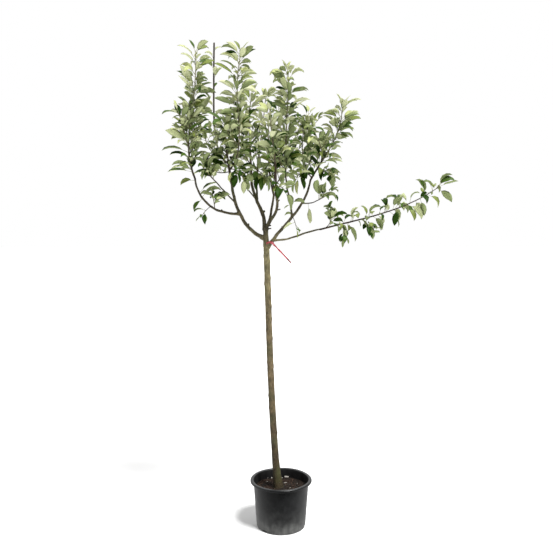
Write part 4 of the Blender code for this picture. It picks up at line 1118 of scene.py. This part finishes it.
def makePot(settings):
    bpy.ops.object.select_all(action="DESELECT")
    profile = settings["profile"]
    bpy.ops.mesh.primitive_circle_add(vertices=settings["sides"], radius=profile[0][0], fill_type="NGON")
    pot = bpy.context.object
    pot.name = "nurseryPot"
    bpy.ops.object.mode_set(mode="EDIT")
    bpy.ops.mesh.select_all(action="SELECT")
    for (radius0, height0), (radius1, height1) in zip(profile, profile[1:]):
        bpy.ops.mesh.extrude_region_move(TRANSFORM_OT_translate={"value": (0, 0, height1 - height0)})
        share = radius1 / radius0
        bpy.ops.transform.resize(value=(share, share, 1), center_override=(0, 0, height1))
    bpy.ops.mesh.select_all(action="SELECT")
    bpy.ops.mesh.normals_make_consistent(inside=False)
    bpy.ops.object.mode_set(mode="OBJECT")
    deep, wide, high = settings["notchSize"]
    for angle in settings["notches"]:
        a = math.radians(angle)
        out = 0.119 - settings["notchDepth"] + deep / 2
        bpy.ops.mesh.primitive_cube_add(size=1, location=(out * math.cos(a), out * math.sin(a), high / 2 - 0.001),
                                        rotation=(0, 0, a), scale=(deep, wide, high))
        notch = bpy.context.object
        applyModifier(pot, "BOOLEAN", operation="DIFFERENCE", object=notch)
        bpy.data.objects.remove(notch)
    points, _ = readPoints(pot)
    angle = np.arctan2(points[:, 1], points[:, 0])
    share = (points[:, 2] / 0.228) ** 2 * settings["wobble"]
    out = share * (np.sin(2 * angle + 0.7) + 0.6 * np.sin(5 * angle + 2.1)) - share
    points[:, 0] += out * np.cos(angle)
    points[:, 1] += out * np.sin(angle)
    writePoints(pot, points)
    pickOnly(pot)
    bpy.ops.object.shade_smooth_by_angle(angle=math.radians(38))
    pot.data.materials.append(potMaterial())
    pot.data.materials.append(potInside())
    for face in pot.data.polygons:
        x, y, z = face.center
        out = math.hypot(x, y)
        facing = (face.normal.x * x + face.normal.y * y) / max(out, 0.001)
        if (facing < -0.3 and z < 0.2265) or (0.1125 < out < 0.1172 and 0.0003 < z < 0.0105):
            face.material_index = 1
    return pot


def potMaterial():
    material = startMaterial("blackPotPlastic", (0.010, 0.011, 0.012), 0.30, 0.50)
    spots = cloudy(material, 34, 6)
    streaks = cloudy(material, 60, 4, (1, 1, 0.12))
    colour = ramp(material, spots, [(0.30, (0.0020, 0.0024, 0.0028)), (0.70, (0.0060, 0.0068, 0.0076))])
    # Dried dust on the foot, thin streaks of it up the wall.
    band = ramp(material, heightShare(material, 0.0, 0.20), [(0.0, (1, 1, 1)), (0.16, (0.80,) * 3),
                                                             (0.29, (0.28,) * 3), (0.60, (0.05,) * 3), (1.0, (0, 0, 0))])
    dust = compute(material, "MULTIPLY", band, greys(material, spots, 0.28, 0.66, 0.35, 1.0))
    dust = compute(material, "MULTIPLY", dust, greys(material, streaks, 0.25, 0.65, 0.55, 1.0))
    colour = blendColours(material, dust, colour, (0.140, 0.142, 0.135))
    scuff = greys(material, cloudy(material, 150, 5, (1, 1, 2.5)), 0.60, 0.74, 0.0, 0.30)
    colour = blendColours(material, scuff, colour, (0.075, 0.077, 0.078))
    rough = compute(material, "ADD", greys(material, spots, 0.3, 0.7, 0.30, 0.44),
                    compute(material, "MULTIPLY", dust, 0.35))
    plugIn(material, colour=colour, roughness=rough,
           normal=bumped(material, cloudy(material, 620, 3), 0.12, 0.0004))
    return material


def potInside():
    material = startMaterial("potInnerWall", (0.006, 0.006, 0.006), 0.6, 0.25)
    spots = cloudy(material, 48, 5, (1, 1, 0.4))
    plugIn(material, colour=ramp(material, spots, [(0.35, (0.0035, 0.0035, 0.0035)), (0.70, (0.011, 0.011, 0.011))]),
           roughness=greys(material, spots, 0.3, 0.7, 0.5, 0.75))
    return material


# Soil

soilSettings = {
    "level": 0.1845,
    "radius": 0.1300,
    "rings": 30,
    "sides": 96,
    "crumbs": 620,
    "chips": 90,
    # place, length and turn of the few large pale pieces by the back wall, which are painted highlights of light
    # glinting there
    "paintedGlintPieces": [(-0.0728, 0.112, 0.0095, 20), (0.0291, 0.121, 0.0105, -15), (-0.046, 0.119, 0.006, 70)],
    "seed": 12,
}


def soilHeight(x, y):
    place = Vector((x * 24, y * 24, 1.7))
    rough = noise.noise(place) * 0.0042 + noise.noise(place * 3.1) * 0.0022 + noise.noise(place * 9) * 0.0010
    away = math.hypot(x + 0.010, y)
    mound = 0.0030 * math.exp(-((away - 0.030) / 0.030) ** 2)
    return soilSettings["level"] + rough + mound


def makeSoil(settings):
    bpy.ops.object.select_all(action="DESELECT")
    radius = settings["radius"]
    bpy.ops.mesh.primitive_circle_add(vertices=settings["sides"], radius=radius - 0.002, fill_type="NGON",
                                      location=(0, 0, settings["level"] - 0.030))
    soil = bpy.context.object
    soil.name = "pottingSoil"
    bpy.ops.object.transform_apply(location=True)
    bpy.ops.object.mode_set(mode="EDIT")
    bpy.ops.mesh.select_all(action="SELECT")
    share = radius / (radius - 0.002)
    bpy.ops.mesh.extrude_region_move(TRANSFORM_OT_translate={"value": (0, 0, 0.030)})
    bpy.ops.transform.resize(value=(share, share, 1), center_override=(0, 0, settings["level"]))
    for i in range(settings["rings"]):
        share = (settings["rings"] - i - 0.7) / (settings["rings"] - i + 0.3)
        bpy.ops.mesh.extrude_region_move()
        bpy.ops.transform.resize(value=(share, share, 1), center_override=(0, 0, settings["level"]))
    bpy.ops.mesh.select_all(action="SELECT")
    bpy.ops.mesh.normals_make_consistent(inside=False)
    bpy.ops.object.mode_set(mode="OBJECT")
    points, _ = readPoints(soil)
    for i, (x, y, z) in enumerate(points):
        if z > settings["level"] - 0.001:
            points[i][2] = soilHeight(x, y)
    writePoints(soil, points)
    soil.data.shade_smooth()
    return soil


def modelBit(kind):
    # A crumb is a lumpy ball, a chip a flat bevelled sliver of bark.
    bpy.ops.object.select_all(action="DESELECT")
    if kind == "crumb":
        bpy.ops.mesh.primitive_ico_sphere_add(subdivisions=2, radius=1)
    else:
        bpy.ops.mesh.primitive_cube_add(size=2, scale=(1.0, 0.42, 0.16))
    bit = bpy.context.object
    bpy.ops.object.transform_apply(scale=True)
    bpy.ops.object.mode_set(mode="EDIT")
    bpy.ops.mesh.select_all(action="SELECT")
    if kind == "chip":
        bpy.ops.mesh.bevel(offset=0.07, segments=1)
    bpy.ops.object.mode_set(mode="OBJECT")
    points, _ = readPoints(bit)
    points += 0.20 * np.stack([noiseAt(points + k, 1.6) for k in (3.1, 7.7, 12.4)], 1)
    faces = [list(face.vertices) for face in bit.data.polygons]
    bpy.data.objects.remove(bit)
    return points, faces


def makeSoilBits(settings, materials):
    rng = random.Random(settings["seed"])
    models = {"crumb": modelBit("crumb"), "chip": modelBit("chip")}
    verts, faces, slots = [], [], []
    for i in range(settings["crumbs"] + settings["chips"]):
        kind = "crumb" if i < settings["crumbs"] else "chip"
        points, sides = models[kind]
        out = (settings["radius"] - 0.007) * math.sqrt(rng.random())
        a = rng.uniform(0, 2 * math.pi)
        x, y = out * math.cos(a), out * math.sin(a)
        size = rng.uniform(0.0011, 0.0034) if kind == "crumb" else rng.uniform(0.0035, 0.0085)
        if math.hypot(x + 0.010, y) < 0.028 + size:
            continue
        turn = rng.uniform(0, 2 * math.pi)
        tip = rng.uniform(-0.5, 0.5)
        shaped = points * (1, rng.uniform(0.7, 1.1), rng.uniform(0.6, 1.0)) * size
        turned = np.stack([shaped[:, 0] * math.cos(tip) - shaped[:, 2] * math.sin(tip), shaped[:, 1],
                           shaped[:, 0] * math.sin(tip) + shaped[:, 2] * math.cos(tip)], 1)
        placed = np.stack([turned[:, 0] * math.cos(turn) - turned[:, 1] * math.sin(turn) + x,
                           turned[:, 0] * math.sin(turn) + turned[:, 1] * math.cos(turn) + y,
                           turned[:, 2] + soilHeight(x, y) + size * 0.25], 1)
        start = len(verts)
        verts += list(placed)
        faces += [[start + k for k in side] for side in sides]
        slots += [0 if kind == "crumb" else 1 if rng.random() < 0.93 else 2] * len(sides)
    # Large pale flakes by the back wall are painted highlights, glints of light there.
    points, sides = models["chip"]
    for x, y, size, turn in settings["paintedGlintPieces"]:
        a = math.radians(turn)
        tilted = np.stack([points[:, 0], points[:, 1] * 0.8 - points[:, 2] * 0.6,
                           points[:, 1] * 0.6 + points[:, 2] * 0.8], 1) * size
        start = len(verts)
        verts += list(np.stack([tilted[:, 0] * math.cos(a) - tilted[:, 1] * math.sin(a) + x,
                                tilted[:, 0] * math.sin(a) + tilted[:, 1] * math.cos(a) + y,
                                tilted[:, 2] + soilHeight(x, y) + size * 0.4], 1))
        faces += [[start + k for k in side] for side in sides]
        slots += [2] * len(sides)
    bits = meshPiece("soilBits", verts, faces, materials, slots)
    pickOnly(bits)
    bpy.ops.object.shade_smooth_by_angle(angle=math.radians(50))
    return bits


def soilMaterials():
    earth = startMaterial("darkCompost", (0.035, 0.022, 0.014), 0.92, 0.3)
    grain = cloudy(earth, 120, 8)
    patch = cloudy(earth, 22, 4)
    colour = ramp(earth, grain, [(0.30, (0.0025, 0.0016, 0.0010)), (0.48, (0.0070, 0.0042, 0.0023)),
                                 (0.62, (0.0165, 0.0090, 0.0045)), (0.75, (0.036, 0.021, 0.011))])
    colour = blendColours(earth, greys(earth, patch, 0.42, 0.62, 0.0, 0.5), colour, (0.030, 0.012, 0.005))
    plugIn(earth, colour=colour, normal=bumped(earth, cloudy(earth, 420, 6), 0.9, 0.002))
    bark = startMaterial("barkChips", (0.090, 0.048, 0.028), 0.85, 0.3)
    fibre = cloudy(bark, 300, 5, (1, 0.3, 1))
    plugIn(bark, colour=ramp(bark, fibre, [(0.3, (0.016, 0.009, 0.006)), (0.7, (0.060, 0.034, 0.020))]),
           normal=bumped(bark, fibre, 0.5, 0.001))
    pale = startMaterial("paleBits", (0.34, 0.31, 0.27), 0.8, 0.4)
    plugIn(pale, colour=ramp(pale, cloudy(pale, 200, 4), [(0.3, (0.16, 0.14, 0.12)), (0.7, (0.46, 0.44, 0.40))]))
    return [earth, bark, pale]


# Label strip

labelSettings = {
    "place": 0.110, "width": 0.0088, "thickness": 0.0007,
    # azimuth and lean of the strip where it leaves the ring, where it drops and where it runs out
    "exit": (-75.0, 100.0), "dropAim": (-60.0, 140.0), "drop": 0.007, "tail": 0.126, "aim": (-8.0, 136.5),
    "flap": [(-0.0500, -0.0270, 1.3880), (-0.0700, -0.0185, 1.3750)],
}


def makeLabel(limbs, settings):
    bough = limbs["right_bough"]
    centre = pointAt(bough["line"], settings["place"])
    along = directionAt(bough["line"], settings["place"])
    out = heading(*settings["exit"])
    out = unit(out - along * float(out @ along))
    across = np.cross(along, out)
    ring = 0.0098
    # The strip's middle line: a short end over the stem, once round the bough, a drop, then straight out.
    points, lays = [], []
    for i in range(37):
        a = 2 * math.pi * (1.20 - 1.20 * i / 36)
        points.append(centre + (out * math.cos(a) + across * math.sin(a)) * (ring + 0.0010 * i / 36)
                      + along * 0.0020 * math.cos(a / 2))
        lays.append(along)
    # Its short end lies over the front of the stem.
    lifted, end = (np.array(place) for place in settings["flap"])
    steps = (1.0, 0.8, 0.6, 0.4, 0.2)
    points = [points[0] * (1 - t) ** 2 + lifted * 2 * t * (1 - t) + end * t * t for t in steps] + points
    lays = [unit(along * (1 - t) + np.array([-0.1, 0.0, 1.0]) * t) for t in steps] + lays
    start = points[-1]
    bend = start + heading(*settings["dropAim"]) * settings["drop"]
    tail = heading(*settings["aim"])
    turned = bend + tail * 0.012
    side = unit(along - tail * float(along @ tail))
    face = np.cross(tail, side)
    for i in range(1, 9):
        t = i / 8
        points.append(start * (1 - t) ** 2 + bend * 2 * t * (1 - t) + turned * t * t)
        lays.append(unit(along * (1 - t) + side * t))
    for i in range(1, 25):
        t = i / 24
        points.append(turned + tail * (settings["tail"] - 0.012) * t + face * 0.0014 * math.sin(t * 5)
                      + side * 0.0010 * math.sin(t * 3.1))
        twist = math.radians(36) * math.sin(t * 7.5 + 0.8)
        lays.append(side * math.cos(twist) + face * math.sin(twist))
    verts, faces = [], []
    for point, lay in zip(points, lays):
        verts += [point - lay * settings["width"] * s for s in (-0.5, 0.0, 0.5)]
    for i in range(len(points) - 1):
        for k in range(2):
            a = 3 * i + k
            faces.append([a, a + 1, a + 4, a + 3])
    strip = meshPiece("redLabelStrip", verts, faces, [labelMaterial()])
    applyModifier(strip, "SOLIDIFY", thickness=settings["thickness"], offset=0.0)
    applyModifier(strip, "BEVEL", width=0.0002, segments=1, limit_method="ANGLE")
    pickOnly(strip)
    bpy.ops.object.shade_smooth_by_angle(angle=math.radians(40))
    return strip


def labelMaterial():
    material = startMaterial("redStripPlastic", (0.42, 0.060, 0.075), 0.42, 0.5)
    # Dark red and pale pink patches along the strip are painted shade and painted light of its twisted faces.
    paintedShadeAndLight = cloudy(material, 42, 3)
    colour = ramp(material, paintedShadeAndLight, [(0.38, (0.13, 0.032, 0.030)), (0.48, (0.38, 0.055, 0.065)),
                                   (0.60, (0.76, 0.22, 0.27))])
    plugIn(material, colour=colour, roughness=greys(material, paintedShadeAndLight, 0.3, 0.7, 0.36, 0.58))
    return material


# Stage

def makeStudio(settings):
    world = bpy.data.worlds.new("studioSky")
    world.use_nodes = True
    nodes = world.node_tree.nodes
    links = world.node_tree.links
    back = nodes["Background"]
    back.inputs["Color"].default_value = (*settings["sky"], 1)
    # The backdrop shows white, and lights the tree more from above and the back than from the front.
    split = nodes.new("ShaderNodeSeparateXYZ")
    links.new(nodes.new("ShaderNodeTexCoord").outputs["Generated"], split.inputs[0])
    light = nodes.new("ShaderNodeMath")
    light.operation = "MULTIPLY"
    below, level, above = settings["skyHeights"]
    rise = nodes.new("ShaderNodeValToRGB")
    rise.color_ramp.elements[0].color = (level,) * 3 + (1,)
    rise.color_ramp.elements[1].color = (above,) * 3 + (1,)
    under = nodes.new("ShaderNodeMath")
    under.operation = "LESS_THAN"
    under.inputs[1].default_value = -0.05
    lift = nodes.new("ShaderNodeMapRange")
    lift.inputs["To Max"].default_value = below
    depth = nodes.new("ShaderNodeMapRange")
    for socket, value in zip(("From Min", "From Max", "To Min", "To Max"), (-0.9, 0.25, *settings["skyDepths"])):
        depth.inputs[socket].default_value = value
    links.new(split.outputs["Z"], rise.inputs[0])
    links.new(split.outputs["Z"], under.inputs[0])
    links.new(under.outputs[0], lift.inputs["Value"])
    links.new(rise.outputs[0], lift.inputs["To Min"])
    links.new(split.outputs["Y"], depth.inputs["Value"])
    links.new(lift.outputs[0], light.inputs[0])
    links.new(depth.outputs[0], light.inputs[1])
    path = nodes.new("ShaderNodeLightPath")
    level = nodes.new("ShaderNodeMapRange")
    level.inputs["To Max"].default_value = settings["skySeen"]
    links.new(path.outputs["Is Camera Ray"], level.inputs["Value"])
    links.new(light.outputs[0], level.inputs["To Min"])
    links.new(level.outputs[0], back.inputs["Strength"])
    bpy.context.scene.world = world
    bpy.context.scene.view_settings.view_transform = "Standard"
    for name, place, spread, power in settings["lamps"]:
        bpy.ops.object.light_add(type="SUN", location=place)
        lamp = bpy.context.object
        lamp.name = name
        lamp.data.angle = math.radians(spread)
        lamp.data.energy = power
        lamp.rotation_euler = Vector(place).to_track_quat("Z", "Y").to_euler()
    bpy.ops.mesh.primitive_circle_add(vertices=96, radius=settings["floorRadius"], fill_type="NGON",
                                      location=(0, 0, -0.0006))
    floor = bpy.context.object
    floor.name = "studioFloor"
    material = startMaterial("paleFloor", settings["floorColour"], 0.9, 0.1)
    tone = ramp(material, cloudy(material, 0.8, 3), [(0.3, (0.865, 0.865, 0.865)), (0.7, (0.89, 0.89, 0.888))])
    plugIn(material, colour=tone)
    floor.data.materials.append(material)
    # The floor stays out of the pot's sheen, which comes from the dark side of the room.
    floor.visible_glossy = False


setCamera(cameraSettings)
makeStudio(studioSettings)
print("studio: camera, lights and floor set")

limbs = planLimbs(trunkSettings)
wood = makeWood(limbs, trunkSettings)
wood.data.materials.clear()
wood.data.materials.append(barkMaterial(barkSettings))
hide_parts(*limbs)
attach(wood, "root")
print("wood: trunk and", len(limbs) - 1, "limbs,", len(wood.data.polygons), "faces")

growFoliage(limbs)

pot = makePot(potSettings)
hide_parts("pot")
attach(pot, "root")
print("pot:", len(pot.data.polygons), "faces")

earth = soilMaterials()
soil = makeSoil(soilSettings)
soil.data.materials.append(earth[0])
bits = makeSoilBits(soilSettings, earth)
for piece in (soil, bits):
    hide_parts("soil")
    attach(piece, "root")
print("soil:", len(bits.data.polygons), "faces of crumbs and chips")

label = makeLabel(limbs, labelSettings)
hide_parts("label_strip")
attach(label, "root")
print("label strip made")
